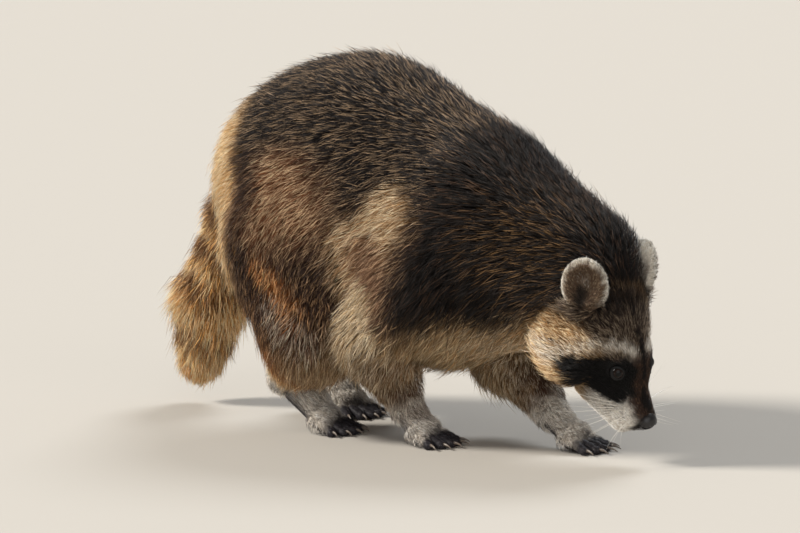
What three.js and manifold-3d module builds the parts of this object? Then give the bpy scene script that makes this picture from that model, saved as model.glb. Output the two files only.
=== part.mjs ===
// A raccoon at life size, standing with its head lowered to the ground.
// Millimetres. +X is the way the trunk faces, +Y its left side, +Z up, floor at z = 0.
//
// The body is one blended surface, out to the tips of the coat. It is described by a
// distance function made of eggs and tapered limbs, meshed, and then parted into head,
// neck, chest, trunk, tail and limbs by thin cuts. Feet, claws, ears, eyes and nose are
// solids of their own. Every piece keeps a gap of GAP to its neighbours.

import * as THREE from 'three';
import { mergeVertices } from 'three/addons/utils/BufferGeometryUtils.js';
import Module from 'manifold-3d';

const wasm = await Module();
wasm.setup();

// ---------------------------------------------------------------- driving sizes

const GAP = 0.3;                    // between two touching pieces

// Trunk and neck: centre or ends, then radii, out to the tips of the coat.
const LOIN = { at: [-50, 0, 213], radii: [141, 118, 145], pitch: 6 };
const PELVIS = { at: [-124, 0, 240], radii: [93, 86, 86], pitch: -30 };
const RIBS = { at: [52, 0, 180], radii: [118, 102, 112], pitch: 0 };
const WITHERS = { at: [34, 0, 228], radii: [92, 78, 93], pitch: 14 };
const NECK = { from: [98, 0, 204], to: [205, 5, 172], radii: [86, 61] };
const THROAT = { from: [120, 0, 165], to: [215, 8, 140], radii: [66, 50] };

// Head: the tip of the nose and how the head is turned, in degrees. Inside the head,
// x runs to the nose, y to the left and z to the top, from the tip of the nose.
const NOSE_TIP = [288, 9, 38];
const HEAD_TURN = { left: 9, down: 52, tilt: 9 };
const CRANIUM = { at: [-98, 0, 12], radii: [46, 43, 40] };
const CHEEK = { at: [-97, 27, -9], radii: [37, 32, 34] };
const BROW = { at: [-68, 0, 11], radii: [32, 29, 26] };
const MUZZLE = { from: [-60, 0, -5], to: [-14, 0, -5], radii: [27, 13] };
const JAW = { from: [-64, 0, -25], to: [-22, 0, -24], radii: [21, 12] };
const LIP = { at: [-23, 8.5, -11], radii: [17, 11.5, 12] };
const NOSE_PAD = { at: [-6.5, 0, -2], radii: [8, 9.5, 8.5] };
const EYE = { at: [-52.5, 22.5, 16.5], radius: 6.2 };
const EAR = { at: [-127, 42, 54], radii: [10.5, 22, 27], scoop: [10.5, 16.5, 22], depth: 10 };

// Limbs: joints from the body down to the ball of the foot, and radii at them.
const HIND_RADII = [76, 52, 24, 14];
const FORE_RADII = [63, 44, 18, 12.5];
const LIMBS = {
  hind_right: {
    side: -1, heading: 10, joints: [[-84, -56, 180], [-46, -76, 110], [-95, -58, 52], [-62, -46, 12.5]],
  },
  hind_left: {
    side: 1, heading: -4, joints: [[-96, 56, 180], [-86, 74, 105], [-150, 50, 52], [-112, 42, 12.5]],
  },
  fore_right: {
    side: -1, heading: 6, joints: [[75, -50, 170], [24, -64, 108], [38, -40, 32], [55, -36, 12]],
  },
  fore_left: {
    side: 1, heading: 14, joints: [[88, 50, 160], [86, 48, 92], [156, 29, 30], [178, 33, 12]],
  },
};
const DIGIT_SPREAD = [-24, -11, 0, 11, 24];          // degrees from the foot's heading
const DIGIT_LENGTH = [0.72, 0.94, 1, 0.92, 0.74];    // of the longest
const LONGEST_DIGIT = { hind: 31, fore: 29 };
const DIGIT_RADIUS = 5;
const DIGIT_PITCH = 6.4;            // between two knuckles
const CLAW = { hind: 5, fore: 7.5, radius: 1.6, tip: 0.4 };
const SOLE_DEPTH = 1.2;             // how far soft pads flatten on the floor
const ANKLE_LAP = 2;                // how far the foot stands proud of the leg's end inside it

// Tail: centre line, and radius out to the tips of its hair.
const TAIL = [
  [[-196, 0, 236], 27], [[-226, 0, 190], 29], [[-258, 0, 108], 40], [[-272, 0, 42], 24],
];

// Blends between neighbouring masses.
const SOFT = { trunk: 40, neck: 40, ribs: 30, head: 18, thigh: 25, arm: 20, limb: 12, tail: 15 };

// Size of the facets on each part.
const FACET = { trunk: 31, chest: 32, neck: 22, head: 12, tail: 18, limb: 22 };
const SPAN = { lo: [-340, -170, -30], hi: [330, 170, 390] };   // box that holds the whole body

// ---------------------------------------------------------------- turning and placing

const vec = (p) => new THREE.Vector3(...p);
const degrees = THREE.MathUtils.degToRad;

// Turn to the left about Z, then nose down about Y, then left side up about X.
function turn(left, down, tilt) {
  const euler = new THREE.Euler(degrees(tilt), degrees(down), degrees(left), 'ZYX');
  return new THREE.Matrix4().makeRotationFromEuler(euler);
}

const headPlace = turn(HEAD_TURN.left, HEAD_TURN.down, HEAD_TURN.tilt).setPosition(...NOSE_TIP);
const toHead = headPlace.clone().invert();
const mirrored = ([x, y, z], side) => [x, y * side, z];

// ---------------------------------------------------------------- distance functions

// Smooth union of two distances, over a width of k.
function blend(a, b, k) {
  const h = Math.max(k - Math.abs(a - b), 0) / k;
  return Math.min(a, b) - h * h * k / 4;
}

// Egg: an ellipsoid, turned by its pitch about Y.
function egg({ at, radii, pitch = 0 }) {
  const back = turn(0, pitch, 0).setPosition(...at).invert();
  const r = vec(radii);
  const q = new THREE.Vector3();
  return (p) => {
    q.copy(p).applyMatrix4(back).divide(r);
    const k0 = q.length();
    const k1 = q.divide(r).length();
    return k1 > 0 ? k0 * (k0 - 1) / k1 : -Math.min(...radii);
  };
}

// Limb: a tapered rod with round ends.
function limb(from, to, ra, rb) {
  const a = vec(from);
  const axis = vec(to).sub(a);
  const l2 = axis.lengthSq();
  const rr = ra - rb;
  const a2 = l2 - rr * rr;
  const q = new THREE.Vector3();
  const w = new THREE.Vector3();
  return (p) => {
    q.copy(p).sub(a);
    const y = q.dot(axis);
    const z = y - l2;
    const x2 = w.copy(q).multiplyScalar(l2).addScaledVector(axis, -y).lengthSq();
    const y2 = y * y * l2;
    const z2 = z * z * l2;
    const k = Math.sign(rr) * rr * rr * x2;
    if (Math.sign(z) * a2 * z2 > k) return Math.sqrt(x2 + z2) / l2 - rb;
    if (Math.sign(y) * a2 * y2 < k) return Math.sqrt(x2 + y2) / l2 - ra;
    return (Math.sqrt(x2 * a2 / l2) + y * rr) / l2 - ra;
  };
}

const rod = ({ from, to, radii }) => limb(from, to, radii[0], radii[1]);
const bothSides = ({ at, radii }) => [-1, 1].map((side) => egg({ at: mirrored(at, side), radii }));

// Blends a list of [distance function, softness] from the first on.
function blended(list) {
  const [[first], ...others] = list;
  return (p) => others.reduce((d, [part, soft]) => blend(d, part(p), soft), first(p));
}

const headShape = blended([
  [egg(CRANIUM), 0],
  ...bothSides(CHEEK).map((cheek) => [cheek, 16]),
  [egg(BROW), 14],
  [rod(MUZZLE), 12],
  [rod(JAW), 8],
  ...bothSides(LIP).map((lip) => [lip, 6]),
]);

const inHead = new THREE.Vector3();
const head = (p) => headShape(inHead.copy(p).applyMatrix4(toHead));

const radiiOf = (name) => (name.startsWith('hind') ? HIND_RADII : FORE_RADII);

function upperLimb(name) {
  const { joints: [top, middle] } = LIMBS[name];
  const [r0, r1] = radiiOf(name);
  return limb(top, middle, r0, r1);
}

// Upper and lower leg, down to the hock or wrist. The foot is a solid of its own.
function wholeLimb(name) {
  const { joints: [, middle, low] } = LIMBS[name];
  const [, r1, r2] = radiiOf(name);
  const lower = limb(middle, low, r1 * 0.84, r2 - ANKLE_LAP);
  return blended([[upperLimb(name), 0], [lower, name.startsWith('hind') ? SOFT.thigh : SOFT.arm]]);
}

const tailShape = blended(TAIL.slice(1).map(([to, rb], i) => {
  const [from, ra] = TAIL[i];
  return [limb(from, to, ra, rb), SOFT.tail];
}));

// The body, with its limbs as one of the two functions above gives them.
const bodyWith = (limbShape) => blended([
  [egg(LOIN), 0],
  [egg(PELVIS), SOFT.trunk],
  [egg(RIBS), SOFT.ribs],
  [egg(WITHERS), SOFT.ribs],
  [rod(NECK), SOFT.neck],
  [rod(THROAT), SOFT.ribs],
  [head, SOFT.head],
  ...Object.keys(LIMBS).map((name) => [limbShape(name), SOFT.limb]),
  [tailShape, SOFT.tail],
]);
const body = bodyWith(wholeLimb);
const torso = bodyWith(upperLimb);      // for large facets, too coarse for the lower legs

// ---------------------------------------------------------------- surface from a distance

// A closed surface where the distance is zero, inside a box, in facets of about `cell`:
// one vertex in each grid cell that the surface crosses, one face over each crossed edge.
function surface(distance, lo, hi, cell) {
  const count = lo.map((value, axis) => Math.ceil((hi[axis] - value) / cell) + 1);
  const [nx, ny, nz] = count;
  const at = (i, j, k) => (k * ny + j) * nx + i;
  const point = new THREE.Vector3();
  const values = new Float64Array(nx * ny * nz);
  for (let k = 0; k < nz; k += 1) {
    for (let j = 0; j < ny; j += 1) {
      for (let i = 0; i < nx; i += 1) {
        const edge = i * j * k === 0 || i === nx - 1 || j === ny - 1 || k === nz - 1;
        point.set(lo[0] + i * cell, lo[1] + j * cell, lo[2] + k * cell);
        values[at(i, j, k)] = edge ? Math.max(distance(point), cell / 10) : distance(point);
      }
    }
  }
  const steps = [[1, 0, 0], [0, 1, 0], [0, 0, 1]];
  const vertices = [];
  const vertexOf = new Map();
  for (let k = 0; k < nz - 1; k += 1) {
    for (let j = 0; j < ny - 1; j += 1) {
      for (let i = 0; i < nx - 1; i += 1) {
        const sum = new THREE.Vector3();
        let crossings = 0;
        for (let corner = 0; corner < 8; corner += 1) {
          const c = [i + (corner & 1), j + ((corner >> 1) & 1), k + ((corner >> 2) & 1)];
          steps.forEach((step, axis) => {
            if ((corner >> axis) & 1) return;
            const a = values[at(...c)];
            const b = values[at(c[0] + step[0], c[1] + step[1], c[2] + step[2])];
            if ((a < 0) === (b < 0)) return;
            sum.add(vec(c).addScaledVector(vec(step), a / (a - b)));
            crossings += 1;
          });
        }
        if (crossings > 0) {
          vertexOf.set(at(i, j, k), vertices.length / 3);
          sum.multiplyScalar(cell / crossings).add(vec(lo));
          vertices.push(sum.x, sum.y, sum.z);
        }
      }
    }
  }
  const faces = [];
  for (let k = 1; k < nz - 1; k += 1) {
    for (let j = 1; j < ny - 1; j += 1) {
      for (let i = 1; i < nx - 1; i += 1) {
        steps.forEach((step, axis) => {
          const inside = values[at(i, j, k)] < 0;
          if (inside === values[at(i + step[0], j + step[1], k + step[2])] < 0) return;
          const u = steps[(axis + 1) % 3];
          const v = steps[(axis + 2) % 3];
          const ring = [[0, 0], [1, 0], [1, 1], [0, 1]].map(([s, t]) => vertexOf.get(
            at(i - s * u[0] - t * v[0], j - s * u[1] - t * v[1], k - s * u[2] - t * v[2]),
          ));
          if (!inside) ring.reverse();
          faces.push(ring[0], ring[1], ring[2], ring[0], ring[2], ring[3]);
        });
      }
    }
  }
  const geometry = new THREE.BufferGeometry();
  geometry.setAttribute('position', new THREE.Float32BufferAttribute(vertices, 3));
  geometry.setIndex(faces);
  return geometry;
}

// ---------------------------------------------------------------- solids to join and cut

function solid(geometry) {
  const bare = geometry.clone();
  bare.deleteAttribute('normal');
  bare.deleteAttribute('uv');
  const merged = mergeVertices(bare, 1e-4);
  const vertProperties = new Float32Array(merged.attributes.position.array);
  const triVerts = new Uint32Array(merged.index.array);
  return new wasm.Manifold(new wasm.Mesh({ numProp: 3, vertProperties, triVerts }));
}

const join = (solids) => solids.reduce((whole, one) => whole.add(one));
const without = (whole, cutters) => cutters.reduce((rest, one) => rest.subtract(one), whole);

function place(geometry, at, matrix = new THREE.Matrix4()) {
  return geometry.translate(...at).applyMatrix4(matrix);
}

// Ball: an ellipsoid of the given radii, grown outwards by `grow`.
function ball(at, radii, { grow = 0, sides = 12, matrix } = {}) {
  const round = new THREE.SphereGeometry(1, sides, Math.round(sides * 0.6));
  round.rotateX(Math.PI / 2).scale(...radii.map((r) => r + grow));
  return solid(place(round, at, matrix));
}

function block(lo, hi, { grow = 0, matrix } = {}) {
  const size = hi.map((value, axis) => value - lo[axis] + 2 * grow);
  const centre = hi.map((value, axis) => (value + lo[axis]) / 2);
  return solid(place(new THREE.BoxGeometry(...size), centre, matrix));
}

// Bone: a tapered rod with round ends from a to b, turned on a lathe.
function bone(a, b, ra, rb, { grow = 0, sides = 7, rings = 2 } = {}) {
  const start = vec(a);
  const axis = vec(b).sub(start);
  const length = axis.length();
  const [low, high] = [ra + grow, rb + grow];
  const profile = [];
  for (let i = 0; i <= rings; i += 1) {
    const angle = (i / rings - 1) * Math.PI / 2;
    profile.push(new THREE.Vector2(i === 0 ? 0 : low * Math.cos(angle), low * Math.sin(angle)));
  }
  for (let i = 0; i <= rings; i += 1) {
    const angle = i / rings * Math.PI / 2;
    const x = i === rings ? 0 : high * Math.cos(angle);
    profile.push(new THREE.Vector2(x, length + high * Math.sin(angle)));
  }
  const lathe = new THREE.LatheGeometry(profile, sides);
  const aim = new THREE.Quaternion().setFromUnitVectors(new THREE.Vector3(0, 1, 0), axis.normalize());
  return solid(lathe.applyQuaternion(aim).translate(...a));
}

// The blended body or torso as one solid, in facets of the given size.
const flesh = (shape, facet) => solid(surface(shape, SPAN.lo, SPAN.hi, facet));

// ---------------------------------------------------------------- feet and claws

const BELOW_FLOOR = block([-500, -200, -60], [500, 200, 0]);

// The two ends of each digit and of its claw.
function digits(name) {
  const { side, joints, heading } = LIMBS[name];
  const kind = name.slice(0, 4);
  const ballOfFoot = vec(joints[3]);
  const across = new THREE.Vector3(0, 1, 0).applyAxisAngle(new THREE.Vector3(0, 0, 1), degrees(heading));
  return DIGIT_SPREAD.map((spread, i) => {
    const turned = degrees(heading + spread);
    const forward = new THREE.Vector3(Math.cos(turned), Math.sin(turned), 0);
    const length = LONGEST_DIGIT[kind] * DIGIT_LENGTH[side > 0 ? i : 4 - i];
    const start = ballOfFoot.clone().addScaledVector(across, (i - 2) * DIGIT_PITCH);
    start.addScaledVector(forward, 2).setZ(9.5);
    const end = start.clone().addScaledVector(forward, length).setZ(DIGIT_RADIUS - 0.6 - SOLE_DEPTH);
    const reach = DIGIT_RADIUS - 0.6 + GAP + CLAW.radius;
    const clawRoot = end.clone().addScaledVector(forward, reach).setZ(end.z + 0.8);
    const clawTip = clawRoot.clone().addScaledVector(forward, CLAW[kind]).setZ(2);
    return { start, end, clawRoot, clawTip };
  });
}

function claw({ clawRoot, clawTip }) {
  return bone(clawRoot, clawTip, CLAW.radius, CLAW.tip, { sides: 6, rings: 1 });
}

// Foot: from the hock or wrist down to the ball, the pad and five digits, flat below.
function foot(name, grow = 0) {
  const { joints: [, , low, ballOfFoot], heading } = LIMBS[name];
  const [, , ra, rb] = radiiOf(name);
  const pad = turn(heading, 0, 0).setPosition(...ballOfFoot);
  const toes = digits(name).map(({ start, end }) => (
    bone(start, end, DIGIT_RADIUS + 0.6, DIGIT_RADIUS - 0.6, { grow, sides: 6 })
  ));
  return join([
    bone(low, ballOfFoot, ra + ANKLE_LAP / 2, rb, { grow, sides: 8 }),
    ball([0, 0, 0], [15, 18, 12.5 + SOLE_DEPTH], { grow, sides: 8, matrix: pad }),
    ...toes,
  ]);
}

// ---------------------------------------------------------------- ears, eyes and nose

// Ear: a round flap with a hollow front, standing on the back corner of the skull.
function earPlace(side) {
  const up = new THREE.Vector3(-0.66, side * 0.12, 0.75).normalize();
  const front = new THREE.Vector3(0.25, side * 0.9, 0.3);
  front.addScaledVector(up, -front.dot(up)).normalize();
  const across = new THREE.Vector3().crossVectors(up, front);
  const local = new THREE.Matrix4().makeBasis(front, across, up).setPosition(...mirrored(EAR.at, side));
  return headPlace.clone().multiply(local);
}

function ear(side, grow = 0) {
  const matrix = earPlace(side);
  const flap = ball([0, 0, 0], EAR.radii, { grow, matrix });
  if (grow > 0) return flap;
  return flap.subtract(ball([EAR.depth, 0, 2], EAR.scoop, { sides: 10, matrix }));
}

const eye = (side, grow = 0) => ball(
  mirrored(EYE.at, side), [EYE.radius, EYE.radius, EYE.radius], { grow, sides: 8, matrix: headPlace },
);
const nose = (grow = 0) => ball(NOSE_PAD.at, NOSE_PAD.radii, { grow, sides: 8, matrix: headPlace });

// ---------------------------------------------------------------- where the cuts run

// Each region holds one part of the body, and is grown by GAP to cut its neighbours.
const REGION = {
  head: (grow) => block([-121, -95, -56], [12, 95, 95], { grow, matrix: headPlace }),
  neck: (grow) => block([0, -110, -96], [140, 110, 110], {
    grow, matrix: turn(3, 20, 0).setPosition(128, 0, 186),
  }),
  chest: (grow) => block([0, -150, -150], [210, 150, 160], {
    grow, matrix: turn(0, 12, 0).setPosition(12, 0, 180),
  }),
  tail: (grow) => join([
    block([-120, -70, -60], [0, 70, 90], { grow, matrix: turn(0, -20, 0).setPosition(-196, 0, 215) }),
    block([-340, -70, -10], [-183, 70, 176], { grow }),
  ]),
};

// Sleeves round the lower leg, and rounds of the thigh or shoulder above it.
function lowerLeg(name, grow = 0) {
  const { joints: [, middle, low] } = LIMBS[name];
  const [, r1, r2] = radiiOf(name);
  const start = vec(middle).lerp(vec(low), 0.3);
  const end = vec(low).lerp(vec(middle), -0.25);
  return bone(start, end, r1 * 0.84 + 7, r2 + 9, { grow, sides: 10 });
}

const ROUND = {
  hind: { offset: [26, 26, -30], radii: [102, 64, 104] },
  fore: { offset: [-8, 22, -38], radii: [76, 62, 90] },
};

function upperLeg(name, grow = 0) {
  const { side, joints: [top] } = LIMBS[name];
  const { offset, radii } = ROUND[name.slice(0, 4)];
  const at = mirrored(offset, side).map((value, axis) => value + top[axis]);
  return ball(at, radii, { grow, sides: 10 });
}

// ---------------------------------------------------------------- colours

const COLOURS = {
  coat: [0x4a4340, 0.95],
  mask: [0x6b645e, 0.95],
  brush: [0xa07f58, 0.95],
  limbs: [0x8a837a, 0.95],
  feet: [0x4b4a4c, 0.8],
  ears: [0xc9c2b6, 0.95],
  eyes: [0x1a1512, 0.15],
  nose: [0x1b1a1b, 0.45],
  claws: [0x4a4642, 0.5],
};

const raccoon = new THREE.Group();

function add(name, piece, look) {
  const { vertProperties, triVerts } = piece.getMesh();
  const geometry = new THREE.BufferGeometry();
  geometry.setAttribute('position', new THREE.BufferAttribute(new Float32Array(vertProperties), 3));
  geometry.setIndex(new THREE.BufferAttribute(new Uint32Array(triVerts), 1));
  geometry.computeVertexNormals();
  const [color, roughness] = COLOURS[look];
  const mesh = new THREE.Mesh(geometry, new THREE.MeshStandardMaterial({ color, roughness, metalness: 0 }));
  mesh.name = name;
  raccoon.add(mesh);
}

// ---------------------------------------------------------------- the animal

// Each piece gives way to the pieces added before it.
const taken = [];

function addOwn(name, make, look) {
  add(name, make(0).subtract(BELOW_FLOOR), look);
  taken.push(make(GAP));
}

function addFlesh(name, whole, region, look) {
  add(name, without(whole.intersect(region(0)), taken), look);
  taken.push(region(GAP));
}

const sides = { right: -1, left: 1 };
const limbNames = Object.keys(LIMBS);
const partOf = (name, hind, fore) => name.replace('hind', hind).replace('fore', fore);

addOwn('nose', nose, 'nose');
Object.entries(sides).forEach(([name, side]) => {
  addOwn(`ear_${name}`, (grow) => ear(side, grow), 'ears');
  addOwn(`eye_${name}`, (grow) => eye(side, grow), 'eyes');
});
limbNames.forEach((name) => {
  addOwn(partOf(name, 'foot', 'paw'), (grow) => foot(name, grow), 'feet');
  digits(name).forEach((digit, i) => add(`claw_${name}_${i + 1}`, claw(digit), 'claws'));
});

const limbFlesh = flesh(body, FACET.limb);
limbNames.forEach((name) => {
  addFlesh(partOf(name, 'shank', 'forearm'), limbFlesh, (grow) => lowerLeg(name, grow), 'limbs');
});
limbNames.reverse().forEach((name) => {
  addFlesh(partOf(name, 'thigh', 'upper_arm'), limbFlesh, (grow) => upperLeg(name, grow), 'limbs');
});
addFlesh('tail', flesh(torso, FACET.tail), REGION.tail, 'brush');
addFlesh('head', flesh(torso, FACET.head), REGION.head, 'mask');
addFlesh('neck', flesh(torso, FACET.neck), REGION.neck, 'coat');
addFlesh('chest', flesh(torso, FACET.chest), REGION.chest, 'coat');
addFlesh('trunk', flesh(torso, FACET.trunk), (grow) => block(SPAN.lo, SPAN.hi, { grow }), 'coat');

// The origin is under the middle of the animal, on the floor.
const box = new THREE.Box3().setFromObject(raccoon);
const middle = box.getCenter(new THREE.Vector3());
raccoon.position.set(-middle.x, -middle.y, 0);

export default raccoon;
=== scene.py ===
# %% [markdown]
# # A raccoon with its nose to the ground
# This lesson dresses a life-size model of a raccoon, as a museum would show it. The solids
# of the model give its outline out to the tips of the coat. Here they get one skin, a coat
# of many thin tufts, eyes with lids, a wet nose, ears, feet, claws and whiskers. All of it
# is worked out from the sizes below, so that another raccoon is a matter of other numbers.

# %% Load the frame
import math

import bpy
import numpy as np
from mathutils import Matrix, Vector
from mathutils.kdtree import KDTree


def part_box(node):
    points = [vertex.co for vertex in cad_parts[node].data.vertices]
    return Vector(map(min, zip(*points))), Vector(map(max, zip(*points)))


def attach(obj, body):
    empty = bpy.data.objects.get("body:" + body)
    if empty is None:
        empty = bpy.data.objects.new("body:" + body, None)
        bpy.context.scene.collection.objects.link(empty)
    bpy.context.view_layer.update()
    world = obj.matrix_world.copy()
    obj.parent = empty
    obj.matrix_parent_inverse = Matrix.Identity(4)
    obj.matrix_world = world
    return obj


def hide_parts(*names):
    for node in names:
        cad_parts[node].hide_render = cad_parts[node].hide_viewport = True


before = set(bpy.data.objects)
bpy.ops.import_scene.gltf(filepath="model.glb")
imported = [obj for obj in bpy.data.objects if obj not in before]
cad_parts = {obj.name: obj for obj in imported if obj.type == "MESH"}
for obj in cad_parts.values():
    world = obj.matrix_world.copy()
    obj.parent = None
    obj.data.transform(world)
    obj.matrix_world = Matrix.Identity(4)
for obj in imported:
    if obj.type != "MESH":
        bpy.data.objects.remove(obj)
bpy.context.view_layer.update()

# %% [markdown]
# ## The driving sizes
# The shape is the same one that the solids were cut from: eggs and tapered limbs in
# millimetres, melted together. Sizes are kept in millimetres, because that is how an
# animal is measured, and turned to metres only when a mesh is made. The head has its own
# axes: x runs to the nose, y to the left and z to the top, from the tip of the nose.

# %% Sizes of the body and head
MM = 0.001

LOIN = ([-50, 0, 213], [141, 118, 145], 6)          # centre, radii, pitch in degrees
PELVIS = ([-124, 0, 240], [93, 86, 86], -30)
RIBS = ([52, 0, 180], [118, 102, 112], 0)
WITHERS = ([34, 0, 228], [92, 78, 93], 14)
NECK = ([98, 0, 204], [205, 5, 172], 86, 61)        # two ends, then their radii
THROAT = ([120, 0, 165], [215, 8, 140], 66, 50)

NOSE_TIP = np.array([288.0, 9.0, 38.0])
HEAD_TURN = (9, 52, 9)                              # left, nose down, tilt, in degrees
CRANIUM = ([-98, 0, 12], [46, 43, 40])
CHEEK = ([-97, 27, -9], [37, 32, 34])
BROW = ([-68, 0, 11], [32, 29, 26])
MUZZLE = ([-60, 0, -5], [-14, 0, -5], 27, 13)
JAW = ([-64, 0, -25], [-22, 0, -24], 21, 12)
LIP = ([-23, 8.5, -11], [17, 11.5, 12])
NOSE_PAD = ([-6.5, 0, -2], [8, 9.5, 8.5])
EYE = np.array([-52.5, 22.5, 16.5])
EYE_RADIUS = 6.2
EAR = np.array([-127.0, 42.0, 54.0])
EAR_RADII = [10.5, 22, 27]                           # to the front, across and up
EAR_SCOOP = ([10, 0, 2], [10.5, 16.5, 22])

# Each limb: joints from the body down to the ball of the foot, and the foot's heading.
LIMBS = {
    "hind_right": (-1, [[-84, -56, 180], [-46, -76, 110], [-95, -58, 52], [-62, -46, 12.5]], 10),
    "hind_left": (1, [[-96, 56, 180], [-86, 74, 105], [-150, 50, 52], [-112, 42, 12.5]], -4),
    "fore_right": (-1, [[75, -50, 170], [24, -64, 108], [38, -40, 32], [55, -36, 12]], 6),
    "fore_left": (1, [[88, 50, 160], [86, 48, 92], [156, 29, 30], [178, 33, 12]], 14),
}
LIMB_RADII = {"hind": [76, 52, 24, 14], "fore": [63, 44, 18, 12.5]}
LIMB_SOFT = {"hind": 25, "fore": 20}
TAIL = [([-196, 0, 236], 27), ([-226, 0, 190], 29), ([-258, 0, 108], 40), ([-272, 0, 42], 24)]
SOFT = {"trunk": 40, "neck": 40, "ribs": 30, "head": 18, "limb": 12, "tail": 15}

# %% [markdown]
# ## Distance functions
# A surface is where a function of place is zero, and inside it is less than zero. Such
# functions can be melted together without a seam, grown, or shrunk by the depth of the
# coat. That is why the skin is made this way and not from a cage of control points.

# %% Eggs, limbs and soft joins
def turn(left, down, tilt):
    """Turn left about Z, nose down about Y and left side up about X, in degrees."""
    a, b, c = (math.radians(value) for value in (left, down, tilt))
    about_z = [[math.cos(a), -math.sin(a), 0], [math.sin(a), math.cos(a), 0], [0, 0, 1]]
    about_y = [[math.cos(b), 0, math.sin(b)], [0, 1, 0], [-math.sin(b), 0, math.cos(b)]]
    about_x = [[1, 0, 0], [0, math.cos(c), -math.sin(c)], [0, math.sin(c), math.cos(c)]]
    return np.array(about_z) @ np.array(about_y) @ np.array(about_x)


def unit(v):
    v = np.asarray(v, float)
    return v / np.maximum(np.linalg.norm(v, axis=-1, keepdims=True), 1e-9)


def step(low, high, x):
    """Smooth step from 0 at low to 1 at high."""
    t = np.clip((x - low) / (high - low), 0, 1)
    return t * t * (3 - 2 * t)


def join(a, b, soft):
    """Smooth union of two distances, over a width of soft."""
    h = np.maximum(soft - np.abs(a - b), 0) / soft
    return np.minimum(a, b) - h * h * soft / 4


def egg(p, at, radii, pitch=0):
    q = (p - np.array(at, float)) @ turn(0, pitch, 0)
    k0 = np.linalg.norm(q / radii, axis=1)
    k1 = np.linalg.norm(q / np.square(radii, dtype=float), axis=1)
    return k0 * (k0 - 1) / np.maximum(k1, 1e-9)


def limb(p, a, b, ra, rb):
    """Tapered rod with round ends."""
    a, b = np.array(a, float), np.array(b, float)
    axis = b - a
    l2 = axis @ axis
    rr = ra - rb
    a2 = l2 - rr * rr
    q = p - a
    y = q @ axis
    z = y - l2
    x2 = np.sum(np.square(q * l2 - y[:, None] * axis), axis=1)
    y2, z2 = y * y * l2, z * z * l2
    k = np.sign(rr) * rr * rr * x2
    side = (np.sqrt(x2 * a2 / l2) + y * rr) / l2 - ra
    side = np.where(np.sign(y) * a2 * y2 < k, np.sqrt(x2 + y2) / l2 - ra, side)
    return np.where(np.sign(z) * a2 * z2 > k, np.sqrt(x2 + z2) / l2 - rb, side)


def both(shape, side):
    """The same egg on the left (1) or right (-1) side."""
    (x, y, z), radii = shape
    return [x, y * side, z], radii


# %% The head's axes, and the frame's origin
HEAD_AXES = turn(*HEAD_TURN)


def to_head(p):
    return (p - NOSE_TIP) @ HEAD_AXES


def from_head(q):
    return np.asarray(q, float) @ HEAD_AXES.T + NOSE_TIP


eye_boxes = [np.mean(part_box(name), axis=0) for name in ("eye_right", "eye_left")]
between_eyes = from_head(EYE * [1, 0, 1])
ORIGIN = np.mean(eye_boxes, axis=0) / MM - between_eyes      # from these sizes to the frame
print("the frame's origin is at", np.round(-ORIGIN, 2), "mm")

# %% [markdown]
# ## The body as one melted shape
# The distance to each mass is kept, not only the nearest one. From them come soft shares
# that say how much a place belongs to the trunk, the neck, the head, a limb or the tail,
# and with them the coat's depth, length and lie change slowly from one to the next.

# %% Masses of the body
def head_distance(p):
    q = to_head(p)
    d = egg(q, *CRANIUM)
    for side in (-1, 1):
        d = join(d, egg(q, *both(CHEEK, side)), 16)
    d = join(d, egg(q, *BROW), 14)
    d = join(d, limb(q, *MUZZLE), 12)
    d = join(d, limb(q, *JAW), 8)
    for side in (-1, 1):
        d = join(d, egg(q, *both(LIP, side)), 6)
    return d


def limb_masses(p, name):
    """Distances to the upper and the lower part of a limb, down to the hock or wrist."""
    _, (top, middle, low, _), _ = LIMBS[name]
    r0, r1, r2, _ = LIMB_RADII[name[:4]]
    return limb(p, top, middle, r0, r1), limb(p, middle, low, r1 * 0.84, r2 - 2)


def tail_distance(p):
    d = None
    for (a, ra), (b, rb) in zip(TAIL, TAIL[1:]):
        part = limb(p, a, b, ra, rb)
        d = part if d is None else join(d, part, SOFT["tail"])
    return d


def masses(p):
    """Distance to each mass of the body, and to the body that they melt into."""
    trunk = join(egg(p, *LOIN), egg(p, *PELVIS), SOFT["trunk"])
    trunk = join(trunk, egg(p, *RIBS), SOFT["ribs"])
    trunk = join(trunk, egg(p, *WITHERS), SOFT["ribs"])
    neck = limb(p, *NECK)
    throat = limb(p, *THROAT)
    each = {"trunk": trunk, "neck": np.minimum(neck, throat), "head": head_distance(p)}
    body = join(join(trunk, neck, SOFT["neck"]), throat, SOFT["ribs"])
    body = join(body, each["head"], SOFT["head"])
    for name in LIMBS:
        upper, lower = limb_masses(p, name)
        each["upper_" + name], each["lower_" + name] = upper, lower
        body = join(body, join(upper, lower, LIMB_SOFT[name[:4]]), SOFT["limb"])
    each["tail"] = tail_distance(p)
    body = join(body, each["tail"], SOFT["tail"])
    return each, body


def shares(each, width=9.0):
    """How much each mass counts at a place, adding up to one."""
    nearest = np.min(list(each.values()), axis=0)
    raw = {name: np.exp(-(d - nearest) / width) for name, d in each.items()}
    total = np.sum(list(raw.values()), axis=0)
    return {name: value / total for name, value in raw.items()}


def along(p, a, b):
    """0 at a, 1 at b, for places beside that line."""
    a, b = np.array(a, float), np.array(b, float)
    return np.clip((p - a) @ (b - a) / ((b - a) @ (b - a)), 0, 1)


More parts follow.
